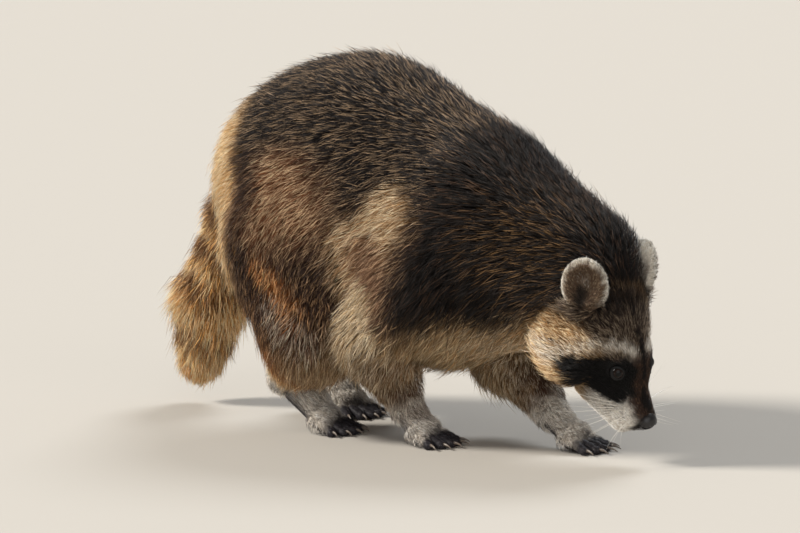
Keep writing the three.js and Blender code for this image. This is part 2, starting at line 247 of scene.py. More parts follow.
def tail_along(p):
    """0 at the root of the tail, 1 at its tip."""
    points = np.array([at for at, _ in TAIL], float)
    lengths = np.linalg.norm(np.diff(points, axis=0), axis=1)
    starts = np.concatenate([[0], np.cumsum(lengths)])
    best, result = None, None
    for i, (a, b) in enumerate(zip(points, points[1:])):
        t = along(p, a, b)
        gap = np.linalg.norm(p - (a + t[:, None] * (b - a)), axis=1)
        s = (starts[i] + t * lengths[i]) / starts[-1]
        result = s if best is None else np.where(gap < best, s, result)
        best = gap if best is None else np.minimum(gap, best)
    return result


# %% [markdown]
# ## The depth of the coat
# A raccoon's coat stands out about 15 mm from the trunk, 20 to 30 mm round the tail and
# only one or two millimetres on the muzzle. The skin lies inside the solids by just that,
# so that the tips of the tufts come back to the true outline.

# %% Depth of the coat at a place
TAIL_CORE = 11.0                    # radius of the tail under its hair
TRUNK_DEPTH, NECK_DEPTH = 15.0, 14.0
UPPER_LIMB_DEPTH = 13.0
LOWER_LIMB_DEPTH = 11.0, 6.0        # at its top, and how much less at its foot
LIP_DEPTH, CROWN_GAIN, CHEEK_GAIN = 1.6, 4.2, 5.0


def head_depth(q):
    """The least at the lips, more on the crown and most behind the cheeks."""
    rear = step(-38, -110, q[:, 0])
    side = step(10, 45, np.abs(q[:, 1])) * step(20, -25, q[:, 2])
    return LIP_DEPTH + rear * (CROWN_GAIN + CHEEK_GAIN * side)


def coat_depth(p, share):
    depth = share["trunk"] * TRUNK_DEPTH + share["neck"] * NECK_DEPTH
    depth = depth + share["head"] * head_depth(to_head(p))
    for name, (_, (_, middle, low, _), _) in LIMBS.items():
        lower = LOWER_LIMB_DEPTH[0] - LOWER_LIMB_DEPTH[1] * step(0.1, 0.9, along(p, middle, low))
        depth = depth + share["upper_" + name] * UPPER_LIMB_DEPTH + share["lower_" + name] * lower
    tail_radius = np.interp(tail_along(p), [0, 0.24, 0.67, 1], [r for _, r in TAIL])
    return depth + share["tail"] * (tail_radius - TAIL_CORE)


# %% Slope of a distance, and points moved onto its surface
def slope(distance, p, reach=0.4):
    """Unit direction in which a distance grows."""
    steps = np.eye(3) * reach
    return unit(np.stack([distance(p + s) - distance(p - s) for s in steps], axis=1))


def settle(distance, p, rounds=3):
    """Moves points onto the surface along its slope."""
    for _ in range(rounds):
        p = p - distance(p)[:, None] * slope(distance, p)
    return p


# %% [markdown]
# ## Ears, and the folds of the face
# An ear is a round flap of skin with a hollow front. It melts into the head at its foot.
# The eye sits in a socket, and the mouth is a thin line that runs back below the lips.

# %% Ears and face in the skin
def ear_axes(side):
    """Front, across and up of an ear, in the head's axes."""
    up = unit([-0.66, side * 0.12, 0.75])
    front = np.array([0.25, side * 0.9, 0.3])
    front = unit(front - (front @ up) * up)
    return np.stack([front, np.cross(up, front), up], axis=1)


def to_ear(p, side):
    return (to_head(p) - EAR * [1, side, 1]) @ ear_axes(side)


EAR_FUR = 2.2                       # of the flap's radii that are fur and not skin
EAR_ROOT = ([-4, 0, -15], [-9, 0, -34], 4, 7)       # from the flap's foot into the head


def ear_distance(p, side):
    q = to_ear(p, side)
    flap = egg(q, [0, 0, -1], [r - EAR_FUR for r in EAR_RADII])
    at, radii = EAR_SCOOP
    hollow = egg(q, at, [radii[0] - 0.6, radii[1] - 0.4, radii[2] - 0.4])
    return join(-join(-flap, hollow, 1.5), limb(q, *EAR_ROOT), 3)


LIP_EDGE = [[-7, 0, -16], [-12, 7, -19], [-24, 14, -21.5], [-38, 18, -23], [-50, 23, -22.5]]


def bare_head(p):
    return head_distance(p) + head_depth(to_head(p))


guide = [np.interp(np.linspace(0, 4, 15), range(5), column) for column in np.transpose(LIP_EDGE)]
MOUTH = to_head(settle(bare_head, from_head(np.transpose(guide)), 6))
MOUTH_MIDDLE, MOUTH_REACH = [-30, 12, -20], 40      # nothing beyond this sphere is near the mouth
MOUTH_GROOVE, MOUTH_WIDTH = 1.5, 1.3                # depth and half width of the line between the lips


def mouth_gap(q):
    """Distance from the line of the mouth, the same on both sides."""
    q = np.stack([q[:, 0], np.abs(q[:, 1]), q[:, 2]], axis=1)
    gap = np.full(len(q), 99.0)
    near = np.linalg.norm(q - MOUTH_MIDDLE, axis=1) < MOUTH_REACH
    if near.any():
        pairs = zip(MOUTH, MOUTH[1:])
        gap[near] = np.min([limb(q[near], a, b, 0.01, 0.0) for a, b in pairs], axis=0)
    return gap


HEAD_MIDDLE, HEAD_REACH = [-80, 0, 20], 140         # ears, eyes and mouth all lie in this sphere


def skin_distance(p):
    each, body = masses(p)
    d = body + coat_depth(p, shares(each))
    near = np.linalg.norm(p - from_head(HEAD_MIDDLE), axis=1) < HEAD_REACH
    if near.any():
        local = p[near]
        q = to_head(local)
        part = d[near]
        for side in (-1, 1):
            part = join(part, ear_distance(local, side), 7)
            socket = np.linalg.norm(q - EYE * [1, side, 1], axis=1) - (EYE_RADIUS + 0.5)
            part = -join(-part, socket, 1.5)
        part = part + MOUTH_GROOVE * np.exp(-np.square(mouth_gap(q) / MOUTH_WIDTH))
        d[near] = part
    return d


# %% [markdown]
# ## From a distance to a mesh
# The distance is measured on a grid, finer round the head and close to the floor. Each
# cell that the surface crosses gets one point, and each crossed grid line one face. The
# points are then moved along the slope until they lie on the surface.

# %% Surface on a grid
def grid_surface(distance, axes):
    """Quads where the distance is zero, on a grid with the given lines on each axis."""
    sizes = [len(lines) for lines in axes]
    p = np.stack(np.meshgrid(*axes, indexing="ij"), axis=-1).reshape(-1, 3)
    chunks = np.array_split(np.arange(len(p)), max(1, len(p) // 400000))
    values = np.concatenate([distance(p[c]) for c in chunks]).reshape(sizes)
    p = p.reshape(*sizes, 3)
    inside = values < 0
    total = np.zeros([n - 1 for n in sizes] + [3])
    count = np.zeros([n - 1 for n in sizes])
    crossed = []
    for axis in range(3):
        head = [slice(None)] * 3
        rear = [slice(None)] * 3
        head[axis], rear[axis] = slice(0, -1), slice(1, None)
        a, b = values[tuple(head)], values[tuple(rear)]
        hit = inside[tuple(head)] != inside[tuple(rear)]
        t = np.where(hit, a / np.where(hit, a - b, 1), 0)[..., None]
        point = p[tuple(head)] * (1 - t) + p[tuple(rear)] * t
        crossed.append(hit)
        u, v = (axis + 1) % 3, (axis + 2) % 3
        for i in (0, 1):
            for j in (0, 1):
                part = [slice(None)] * 3
                part[u] = slice(i, i + sizes[u] - 1)
                part[v] = slice(j, j + sizes[v] - 1)
                weight = hit[tuple(part)]
                total += point[tuple(part)] * weight[..., None]
                count += weight
    used = count > 0
    number = np.full(used.shape, -1)
    number[used] = np.arange(used.sum())
    points = total[used] / count[used][:, None]
    quads = []
    for axis in range(3):
        u, v = (axis + 1) % 3, (axis + 2) % 3
        where = np.argwhere(crossed[axis])
        where = where[(where[:, u] > 0) & (where[:, v] > 0)]
        where = where[(where[:, u] < sizes[u] - 1) & (where[:, v] < sizes[v] - 1)]
        ring = []
        for i, j in ((0, 0), (1, 0), (1, 1), (0, 1)):
            cell = where.copy()
            cell[:, u] -= i
            cell[:, v] -= j
            ring.append(number[tuple(cell.T)])
        ring = np.stack(ring, axis=1)
        out = inside[tuple(where.T)]
        quads.append(np.where(out[:, None], ring, ring[:, ::-1]))
    return points, np.concatenate(quads)


def lines(*spans):
    """Grid lines over several spans (from, to, spacing)."""
    parts = [np.linspace(a, b, round((b - a) / gap), endpoint=False) for a, b, gap in spans]
    return np.concatenate(parts + [[spans[-1][1]]])


# %% Mesh pieces
def make_mesh(name, points, faces, colours=None, smooth=True):
    """An object from points in millimetres and faces that all have the same number of corners."""
    faces = np.asarray(faces, np.int32)
    count, corners = faces.shape
    mesh = bpy.data.meshes.new(name)
    mesh.vertices.add(len(points))
    mesh.vertices.foreach_set("co", ((points + ORIGIN) * MM).astype(np.float32).ravel())
    mesh.loops.add(count * corners)
    mesh.loops.foreach_set("vertex_index", faces.ravel())
    mesh.polygons.add(count)
    mesh.polygons.foreach_set("loop_start", np.arange(count, dtype=np.int32) * corners)
    mesh.polygons.foreach_set("use_smooth", np.full(count, smooth))
    mesh.update(calc_edges=True)
    mesh.validate()
    if colours is not None:
        layer = mesh.color_attributes.new("coat", "FLOAT_COLOR", "POINT")
        rgba = np.concatenate([colours, np.ones((len(colours), 1))], axis=1)
        layer.data.foreach_set("color", rgba.astype(np.float32).ravel())
    piece = bpy.data.objects.new(name, mesh)
    bpy.context.scene.collection.objects.link(piece)
    return piece


# %% [markdown]
# ## The markings
# Skin and coat take their colours from one function of place, as the animal does: a zone
# is a soft-edged region with three colours, at the root, in the middle and at the tip of a
# hair, and a share of hairs whose tips are light. Zones are laid over each other in order.
# Two zones are painted light and not markings: painted shade in the crease between rump
# and thigh, and a painted highlight on the black fur of the neck.

# %% Colours of each zone of the coat
def linear(code):
    """A hex colour, as a screen shows it, in linear light."""
    c = np.array([int(code[i:i + 2], 16) for i in (1, 3, 5)]) / 255
    return np.where(c <= 0.04045, c / 12.92, ((c + 0.055) / 1.055) ** 2.4)


ZONES = {                      # root, middle, light tip, share of light tips
    "back": ("#0c0909", "#1f1918", "#bb9d7c", 0.23),
    "flank": ("#18110d", "#3d2c23", "#cda983", 0.30),
    "hip": ("#321c11", "#80502f", "#f8d9b0", 0.54),
    # painted shade: the dark crease between rump and thigh, where shade falls
    "shade_between_rump_and_thigh": ("#110b09", "#241814", "#8c6547", 0.18),
    "patch": ("#4e3822", "#b48c5f", "#fbeccd", 0.64),
    "blush": ("#2c1c14", "#7a563f", "#dcb894", 0.40),
    "pale": ("#7a5e42", "#dabd92", "#fff3dc", 0.72),
    "rump": ("#6b4722", "#dcaa6a", "#fff0cf", 0.68),
    "gold": ("#633212", "#cf8240", "#ffd69c", 0.56),
    "streak": ("#1c120d", "#5a3a28", "#fdf3e0", 0.60),
    "black": ("#070505", "#140e0c", "#5b4230", 0.16),
    # painted highlight: warm glints of light on the black fur of the neck
    "painted_neck_glint": ("#0b0705", "#1f150f", "#a07a4c", 0.24),
    "belly": ("#54402d", "#c09b6e", "#f5e3c0", 0.52),
    "throat": ("#5c442f", "#cfaa7c", "#fbf0d8", 0.62),
    "thigh": ("#180f0b", "#3f291d", "#c08f5f", 0.30),
    "sock": ("#b4a491", "#e8ddcf", "#fffcf7", 0.74),
    "arm": ("#1a100c", "#4c3125", "#e6d3bd", 0.38),
    "toes": ("#19171a", "#2e2a2f", "#77737c", 0.22),
    "tail": ("#855022", "#efb66e", "#fff1cc", 0.66),
    "tail_top": ("#2e2226", "#6b4f48", "#c9a283", 0.35),
    "ring": ("#1e100a", "#4c2d1d", "#a87a50", 0.32),
    "mask": ("#060505", "#0e0c0b", "#221c19", 0.20),
    "white": ("#a2988b", "#eae3d8", "#fdfbf7", 0.75),
    "brow": ("#6a5c4e", "#c4b39c", "#f6eddd", 0.60),
    "forehead": ("#140f0c", "#3e3028", "#c9b397", 0.42),
    "bridge": ("#120d0b", "#3a2920", "#8d6c52", 0.30),
    "stripe": ("#090706", "#191310", "#33271f", 0.15),
    "cheek": ("#46301e", "#ad8455", "#efd9b2", 0.52),
    "ear_rim": ("#b0a594", "#efe6d6", "#fdfaf3", 0.75),
    "ear_back": ("#3c332d", "#8f857a", "#dcd5ca", 0.50),
    "ear_inside": ("#1a110c", "#5b4737", "#b9a386", 0.34),
}
ZONE_COLOURS = {name: np.array([linear(code) for code in zone[:3]]) for name, zone in ZONES.items()}


# %% Soft regions
def folded(p):
    """Places with the right side folded onto the left, for markings that both sides have."""
    return np.stack([p[:, 0], np.abs(p[:, 1]), p[:, 2]], axis=1)


def inside_egg(p, at, radii, soft=0.3):
    """1 inside an egg and 0 outside, over a soft edge."""
    return 1 - step(1 - soft, 1 + soft, np.linalg.norm((p - np.array(at)) / radii, axis=1))


def inside_limb(p, a, b, ra, rb, soft=2.0):
    return 1 - step(-soft, soft, limb(p, a, b, ra, rb))


def mottle(p, size, seed):
    """Slow unevenness between -1 and 1, over about that many millimetres."""
    draw = np.random.default_rng(seed)
    total = np.zeros(len(p))
    for _ in range(5):
        wave = unit(draw.normal(size=3)) * 2 * math.pi / (size * draw.uniform(0.7, 1.6))
        total += np.sin(p @ wave + draw.uniform(0, 2 * math.pi))
    return total / 3.2


class Paint:
    """Three colours and a share of light tips at each place, with zones laid over them."""

    def __init__(self, count, zone):
        self.colours = np.tile(ZONE_COLOURS[zone], (count, 1, 1))
        self.light = np.full(count, ZONES[zone][3])

    def lay(self, zone, weight):
        weight = np.clip(weight, 0, 1)
        self.colours += (ZONE_COLOURS[zone] - self.colours) * weight[:, None, None]
        self.light += (ZONES[zone][3] - self.light) * weight


# %% Markings of the body, legs and tail
# Each mark is an egg (centre, radii) or a limb (two ends, two radii), in millimetres on the
# left side, and the right side has the same. They are places on the outside of the coat.
HAIR_OUT = 13                                       # from the skin out to there
HIP_GLOW = ([-60, 110, 224], [58, 60, 46])
# Painted shade: a dark band down the crease between rump and thigh.
RUMP_THIGH_SHADE = ([-110, 104, 262], [-82, 130, 150], 16, 14)
SIDE_PATCH = ([66, 100, 226], [44, 108, 186], 22, 32)
SIDE_BLUSH = ([44, 108, 172], [42, 108, 142], 32, 27)
REAR_PATCH = ([16, 104, 200], [10, 104, 160], 11, 12)
ELBOW_FRINGE = ([30, 108, 140], [32, 106, 98], 17, 27)
SHOULDER_EDGE = ([120, 140, 163, 201, 232], [66, 74, 84, 97, 104])     # heights, and x there
# Painted highlight: warm glints of light on the black neck fur.
NECK_HIGHLIGHT = ([196, 66, 196], [52, 60, 52])
CHEST = ([112, 40, 94], [52, 70, 36])
THROAT_MARK = ([178, 0, 88], [68, 80, 50])
CHEEK_STREAK = ([226, 56, 116], [176, 60, 110], 22, 14)
THIGH_BAND = ([-70, 130, 168], [-28, 126, 126], 8, 10)
THIGH_STREAKS = ([-56, 130, 130], [-16, 120, 100], 13, 17)
THIGH_MARKS_AT = -46                                # x of the knee that these two were placed for
TAIL_RINGS = [0.08, 0.25, 0.43, 0.63, 0.85]         # along the tail, from its root to its tip


def three_mottles(p, size, seeds):
    return np.stack([mottle(p, size, seed) for seed in seeds], axis=1)


def paint_body(paint, p, normal, share):
    wander, ragged = three_mottles(p, 38, (1, 2, 3)), three_mottles(p, 12, (21, 22, 23))
    q = folded(p + HAIR_OUT * normal + 5 * wander + 2.5 * ragged)
    x, _, z = q.T
    paint.lay("back", step(188, 248, z + 0.3 * x * (x < 0)))
    paint.lay("hip", 0.9 * inside_egg(q, *HIP_GLOW, 0.5))
    # painted shade down the crease between rump and thigh
    paint.lay("shade_between_rump_and_thigh", 0.9 * inside_limb(q, *RUMP_THIGH_SHADE, 8))
    rump_edge = x + 115 + 0.15 * (z - 174)
    paint.lay("rump", step(4, -16, rump_edge) * step(105, 140, z) * (1 - step(0.45, 0.85, normal[:, 2])))
    paint.lay("belly", step(120, 90, z) * step(-60, 20, x))
    paint.lay("patch", 0.95 * inside_limb(q, *SIDE_PATCH, 9))
    paint.lay("blush", 0.9 * inside_limb(q, *SIDE_BLUSH, 10))
    paint.lay("patch", 0.8 * inside_limb(q, *REAR_PATCH, 9))
    paint.lay("pale", inside_limb(q, *ELBOW_FRINGE, 8))
    shoulder = step(0, 16, x - np.interp(z, *SHOULDER_EDGE))
    paint.lay("black", shoulder * (1 - step(122, 108, z - 6 * mottle(p, 20, 24)) * step(170, 130, x)))
    # painted highlight of warm glints on the black neck fur
    paint.lay("painted_neck_glint", 0.8 * inside_egg(q, *NECK_HIGHLIGHT, 0.6))
    paint.lay("belly", inside_egg(q, *CHEST, 0.35))
    paint.lay("throat", inside_egg(q, *THROAT_MARK, 0.3))
    paint.lay("cheek", inside_limb(q, *CHEEK_STREAK, 10))
    for name in LIMBS:
        if name.startswith("hind"):
            paint_hind_leg(name, paint, p, q, share)
        else:
            paint_foreleg(name, paint, p, normal, share)
    paint_tail(paint, p, normal, share["tail"])


def paint_hind_leg(name, paint, p, q, share):
    _, (_, knee, hock, _), _ = LIMBS[name]
    upper, lower = share["upper_" + name], share["lower_" + name]
    here = np.maximum(upper * step(172, 120, p[:, 2]), lower)
    back_edge = step(8, -22, p[:, 0] - knee[0])
    low_down = step(110, 70, p[:, 2])
    shifted = q - [knee[0] - THIGH_MARKS_AT, 0, 0]
    paint.lay("thigh", here)
    paint.lay("gold", 0.85 * np.maximum(upper, lower) * inside_limb(shifted, *THIGH_BAND, 6))
    streaks = inside_limb(shifted, *THIGH_STREAKS, 8)
    paint.lay("streak", np.maximum(upper, lower) * streaks)
    paint.lay("belly", 0.8 * here * low_down * (1 - back_edge) * (1 - streaks))
    paint.lay("gold", 0.8 * here * low_down * back_edge)
    t = along(p, knee, hock)
    paint.lay("rump", lower * step(0.55, 0.75, t))
    paint.lay("sock", lower * step(0.78, 1.0, t))


def paint_foreleg(name, paint, p, normal, share):
    _, (_, elbow, wrist, _), _ = LIMBS[name]
    upper, lower = share["upper_" + name], share["lower_" + name]
    here = np.maximum(upper * step(108, 84, p[:, 2]), lower)
    t = along(p, elbow, wrist)
    front = step(-0.1, 0.5, normal[:, 0] + 0.2 * mottle(p, 18, 25))
    paint.lay("arm", here * (0.7 + 0.3 * front))
    paint.lay("belly", 0.35 * here * (1 - front) * step(0.55, 0.2, t))
    paint.lay("sock", lower * step(0.76, 0.98, t + 0.06 * mottle(p, 12, 26)))


def paint_tail(paint, p, normal, share):
    s = tail_along(p) + 0.035 * mottle(p, 26, 5)
    here = step(0.35, 0.75, share)
    paint.lay("tail", here)
    paint.lay("gold", 0.55 * here * step(0.0, 0.9, mottle(p, 24, 27)))
    paint.lay("tail_top", here * step(0.35, 0.02, s) * step(0.5, -0.6, normal[:, 0]))
    for k, ring in enumerate(TAIL_RINGS):
        band = 1 - step(0.02, 0.07, np.abs(s - ring))
        paint.lay("ring", 0.85 * here * band * step(-0.9, -0.1, mottle(p, 30, 60 + k)))


# %% Markings of the face
BROW_BAND = [[-97, 55, -12], [-86, 51, 12], [-77, 37, 27], [-66, 22, 36], [-58, 11, 36]]
RUFF_BAND = [[-97, 55, -12], [-112, 56, -22], [-126, 52, -26]]
MID_STRIPE = [[-100, 0, 50], [-80, 0, 47], [-50, 0, 32], [-15, 0, 6]]
NAPE = ([-130, 0, 44], [34, 62, 46])
MUZZLE_WHITE = ([-22, 14, -10], [-56, 32, -34], 11, 12)
MASK_UPPER = ([-49, 18, 18], [-78, 51, -4], 13, 10)
MASK_LOWER = ([-40, 18, 2], [-66, 41, -14], 11.5, 9.5)
MASK_TO_BRIDGE = ([-30, 10, 6], [-44, 14, 14], 3.5, 6)
WHISKER_SPOTS = ([-16, 12, -10], [-38, 20, -14], 7, 7)


def polyline(p, points, radii):
    """Distance from a line through points, with a radius at each point."""
    pairs = zip(points, points[1:], radii, radii[1:])
    return np.min([limb(p, a, b, ra, rb + 0.01) for a, b, ra, rb in pairs], axis=0)


def paint_head(paint, p, share):
    wander, ragged = three_mottles(p, 9, (6, 7, 8)), three_mottles(p, 4, (28, 29, 30))
    q = folded(to_head(p) + 1.2 * wander + 0.7 * ragged)
    here = step(0.3, 0.7, share)
    x, y, z = q.T
    paint.lay("cheek", here * step(-60, -80, x))
    paint.lay("forehead", here * step(6, 20, z - 0.25 * y) * step(-20, -60, x))
    paint.lay("black", here * inside_egg(q, *NAPE, 0.35))
    paint.lay("white", here * step(-60, -44, x))
    paint.lay("bridge", here * step(-5, 5, z + 0.25 * y) * step(-66, -48, x) * step(19, 11, y))
    paint.lay("white", here * inside_limb(q, *MUZZLE_WHITE, 3))
    paint.lay("brow", here * inside_limb(q, RUFF_BAND[0], RUFF_BAND[2], 8, 13, 4))
    paint.lay("brow", 0.7 * here * (1 - step(-2, 4, polyline(q, BROW_BAND, [8, 7.5, 6.5, 6, 4]))))
    paint.lay("white", 0.95 * here * (1 - step(-2, 3, polyline(q, BROW_BAND, [2, 2.5, 3.2, 4.5, 3]))))
    mask = np.minimum(limb(q, *MASK_UPPER), limb(q, *MASK_LOWER))
    paint.lay("mask", here * (1 - step(-1.5, 1.5, mask)))
    paint.lay("mask", here * inside_limb(q, *MASK_TO_BRIDGE, 2))
    paint.lay("stripe", here * (1 - step(-1, 1, polyline(q, MID_STRIPE, [3.2, 2.6, 3.5, 5]))))
    paint.lay("stripe", here * step(-11, -5, x) * step(-19, -12, z))
    spots = step(0.55, 0.9, mottle(p, 3.4, 33)) * inside_limb(q, *WHISKER_SPOTS, 3)
    paint.lay("mask", 0.8 * here * spots)
    paint.lay("mask", here * (1 - step(0.5, 1.6, mouth_gap(q))))


def paint_ears(paint, p):
    for side in (-1, 1):
        q = to_ear(p, side)
        here = 1 - step(-1.5, 1.5, egg(q, [0, 0, 1], [14, 25, 31]))
        reach = np.hypot(q[:, 1] / EAR_RADII[1], q[:, 2] / EAR_RADII[2])
        rim = step(0.76, 0.90, reach + 0.05 * mottle(p, 6, 34)) * step(-20, -8, q[:, 2])
        front = step(-1.5, 1.0, q[:, 0])
        canal = 1 - step(-4, 3, egg(q, [0, side * 3, -12], [12, 6, 12]) + 2 * mottle(p, 7, 35))
        paint.lay("ear_back", here * step(-16, 0, q[:, 2]))
        paint.lay("ear_rim", here * (1 - front) * step(2, 16, q[:, 2]))
        paint.lay("ear_inside", here * front)
        paint.lay("mask", 0.85 * here * front * canal)
        paint.lay("ear_rim", here * rim)
        paint.lay("black", here * step(-8, -22, q[:, 2]) * (1 - front))


def coat_paint(p, normal, share):
    paint = Paint(len(p), "flank")
    paint_body(paint, p, normal, share)
    paint_head(paint, p, share["head"])
    paint_ears(paint, p)
    return paint


# %% [markdown]
# ## The skin
# One skin covers the body, the limbs down to hock and wrist, the tail and the ears. It is
# seen only where the coat parts, so it takes the colour that the hairs have half way up.

# %% The skin
COARSE = 4.2                        # spacing of the grid away from the head, in millimetres
axes = [
    lines((-325, 160, COARSE), (160, 300, 1.5)),
    lines((-140, -72, COARSE), (-72, 84, 1.9), (84, 140, COARSE)),
    lines((14, 150, 1.7), (150, 372, COARSE)),
]
skin_points, skin_faces = grid_surface(skin_distance, axes)
skin_points = settle(skin_distance, skin_points)
skin_normals = slope(skin_distance, skin_points)
skin_shares = shares(masses(skin_points)[0])
skin_paint = coat_paint(skin_points, skin_normals, skin_shares)
skin = make_mesh("skin", skin_points, skin_faces, skin_paint.colours[:, 1])
print("skin:", len(skin_points), "points,", len(skin_faces), "faces")

# %% A node, a new material, and hide
def add(tree, kind, inputs, **settings):
    """Adds a node with its settings. An input is a value, or a socket that it is linked to."""
    node = tree.nodes.new(kind)
    for name, value in settings.items():
        setattr(node, name, value)
    for name, value in inputs.items():
        if isinstance(value, bpy.types.NodeSocket):
            tree.links.new(value, node.inputs[name])
        else:
            node.inputs[name].default_value = value
    return node


def new_material(name):
    material = bpy.data.materials.new(name)
    material.use_nodes = True
    return material, material.node_tree, material.node_tree.nodes["Principled BSDF"]


def coat_material(name, roughness):
    """Hair or hide that takes its colour from the piece's own colour attribute."""
    material, tree, shader = new_material(name)
    colour = add(tree, "ShaderNodeAttribute", {}, attribute_name="coat")
    tree.links.new(colour.outputs["Color"], shader.inputs["Base Color"])
    shader.inputs["Roughness"].default_value = roughness
    shader.inputs["Specular IOR Level"].default_value = 0.3
    return material


hide = coat_material("hide_with_short_hair", 0.8)
skin.data.materials.append(hide)

# %% [markdown]
# ## The coat
# A coat could be particle hair, but only real mesh keeps its shape everywhere. So each tuft
# is a thin closed spindle with a root, one ring where it bends, and a tip: six faces. There
# are many thousands, and they come from arrays, all of them in one sum. Each knows where
# it is rooted, which way the coat lies there, how long it is, and how far its tip stands out.

# %% Hair of the ears
EAR_HAIR, EAR_INNER_HAIR = 4.5, 5.5            # lengths on the flap and in its hollow
EAR_HAIR_DEPTH = 1.6


def ear_parts(p):
    """How much a place is on an ear, how much in its hollow, and which way its hairs point."""
    on_ear, hollow = np.zeros(len(p)), np.zeros(len(p))
    way = np.zeros((len(p), 3))
    for side in (-1, 1):
        q = to_ear(p, side)
        here = (1 - step(-1.0, 2.0, egg(q, [0, 0, 0], [12, 23, 29]))) * step(-25, -16, q[:, 2])
        outwards = [np.full(len(p), 0.3), 0.8 * q[:, 1] / EAR_RADII[1], 0.6 + q[:, 2] / 40]
        outwards = np.stack(outwards, axis=1)
        on_ear = np.maximum(on_ear, here)
        hollow = np.maximum(hollow, here * step(-1.5, 0.5, -egg(q, EAR_SCOOP[0], [10.8, 17.5, 24])))
        way += here[:, None] * (outwards @ ear_axes(side).T @ HEAD_AXES.T)
    return on_ear, hollow, way


# %% Lie of the coat
def head_lie(q):
    """From the nose back over the head, and outwards and down over the cheeks."""
    side = np.sign(q[:, 1]) * step(5, 40, np.abs(q[:, 1]))
    low = step(15, -20, q[:, 2])
    rear = step(-40, -100, q[:, 0])
    way = [-np.ones(len(q)), 0.15 * side + 0.35 * side * rear, -0.35 * low - 0.25 * rear * low]
    return np.stack(way, axis=1)


def lie(p, normal, share):
    """The way that hairs point along the skin."""
    down = np.array([0.0, 0.0, -1.0])
    flank = np.abs(normal[:, 1])[:, None]
    under = step(0.1, -0.6, normal[:, 2])[:, None]
    rump = step(-130, -190, p[:, 0])[:, None]
    trunk = np.array([-1.0, 0, 0]) + down * (0.75 * flank + 0.5 * under + 1.6 * rump)
    neck = np.array([-0.94, 0, 0.25]) + down * (0.55 * flank + 0.5 * under)
    total = share["trunk"][:, None] * trunk + share["neck"][:, None] * neck
    total = total + share["head"][:, None] * (head_lie(to_head(p)) @ HEAD_AXES.T)
    for name, (_, (top, middle, low, _), _) in LIMBS.items():
        upper = unit(unit(np.subtract(middle, top)) + [-0.35, 0, -0.5])
        lower = unit(unit(np.subtract(low, middle)) + [-0.15, 0, -0.3])
        total = total + share["upper_" + name][:, None] * upper + share["lower_" + name][:, None] * lower
    s = tail_along(p)
    points = np.array([at for at, _ in TAIL], float)
    ways = unit(np.diff(points, axis=0))
    way = np.stack([np.interp(s, [0.1, 0.45, 0.85], ways[:, k]) for k in range(3)], axis=1)
    total = total + share["tail"][:, None] * way
    on_ear, _, ear_way = ear_parts(p)
    return total * (1 - on_ear)[:, None] + ear_way


def across(v, normal):
    """The part of v that lies along the skin, as a unit direction."""
    return unit(v - np.sum(v * normal, axis=1, keepdims=True) * normal)


# %% Roots on a surface
def scatter(points, faces, normals, density, seed):
    """Places and normals spread over quads, with a density per square millimetre at each point."""
    draw = np.random.default_rng(seed)
    tris = np.concatenate([faces[:, [0, 1, 2]], faces[:, [0, 2, 3]]])
    order = np.argsort(np.tile(np.arange(len(faces)), 2), kind="stable")
    tris = tris[order]
    a, b, c = (points[tris[:, k]] for k in range(3))
    area = np.linalg.norm(np.cross(b - a, c - a), axis=1) / 2
    wanted = np.cumsum(area * density[tris].mean(axis=1))
    count = int(wanted[-1])
    level = (np.arange(count) + draw.random(count)) / count * wanted[-1]
    pick = np.searchsorted(wanted, level).clip(0, len(tris) - 1)
    r = np.sqrt(draw.random(count))
    t = draw.random(count)
    mix = np.stack([1 - r, r * (1 - t), r * t], axis=1)[..., None]
    return np.sum(points[tris[pick]] * mix, axis=1), unit(np.sum(normals[tris[pick]] * mix, axis=1))


# %% Tufts from roots
PATCH, PATCH_EDGE = 0.003, 0.002    # of the bake map: a tuft's patch, and the free edge of the map
RING_AT = 0.60                      # of a tuft's length, where it bends
FLATTEN = 0.6                       # thickness over width
GUARD_SHARE, GUARD_LENGTH = 0.07, 1.35     # long hairs that stand out of the coat
FLOOR_CLEARANCE = 0.3               # no hair goes below this height
SINK = 0.8                          # mm that a root is below the skin
CLUMP_FILL = 0.35                   # of a clump's square that its tufts take up
LEADER_SPREAD = 0.3                 # of the gap between two roots of a clump, kept by their tips


def tuft_arrays(root, bend, tip, side, lift_way, width):
    """Points of closed spindles: a root, a ring of three and a tip."""
    angles = np.radians([90, 210, 330])
    half = width[:, None] / 2
    ring = [bend + half * (math.cos(a) * side + FLATTEN * math.sin(a) * lift_way) for a in angles]
    points = np.stack([root, *ring, tip], axis=1)
    faces = [face for i, j in ((1, 2), (2, 3), (3, 1)) for face in ((0, i, j), (j, i, 4))]
    return points, np.array(faces)


def tuft_patch(faces):
    """Corner places in a tuft's patch, a column for each of its three sides."""
    places = []
    for k in range(len(faces)):
        left, right, middle = (k // 2) / 3, (k // 2 + 1) / 3, (k // 2 + 0.5) / 3
        below = [(middle, 0), (left, 0.5), (right, 0.5)]
        above = [(right, 0.5), (left, 0.5), (middle, 1)]
        places += above if k % 2 else below
    return np.array(places) * PATCH


def unwrap(p, centre, axis, as_ball):
    """Angle round an axis, and angle from it (on a ball) or distance along it (on a rod)."""
    axis = unit(axis)
    first = unit(np.cross(axis, [0.13, 0.2, 1.0] if abs(axis[2]) < 0.8 else [1.0, 0.1, 0]))
    second = np.cross(axis, first)
    q = p - np.array(centre, float)
    u = np.arctan2(q @ second, q @ first)
    v = q @ axis
    if as_ball:
        v = np.arccos(np.clip(v / np.linalg.norm(q, axis=1), -1, 1))
    uv = np.stack([u, v], axis=1)
    low, high = uv.min(axis=0), uv.max(axis=0)
    return PATCH_EDGE + (uv - low) / (high - low) * (1 - 3 * PATCH_EDGE - PATCH)


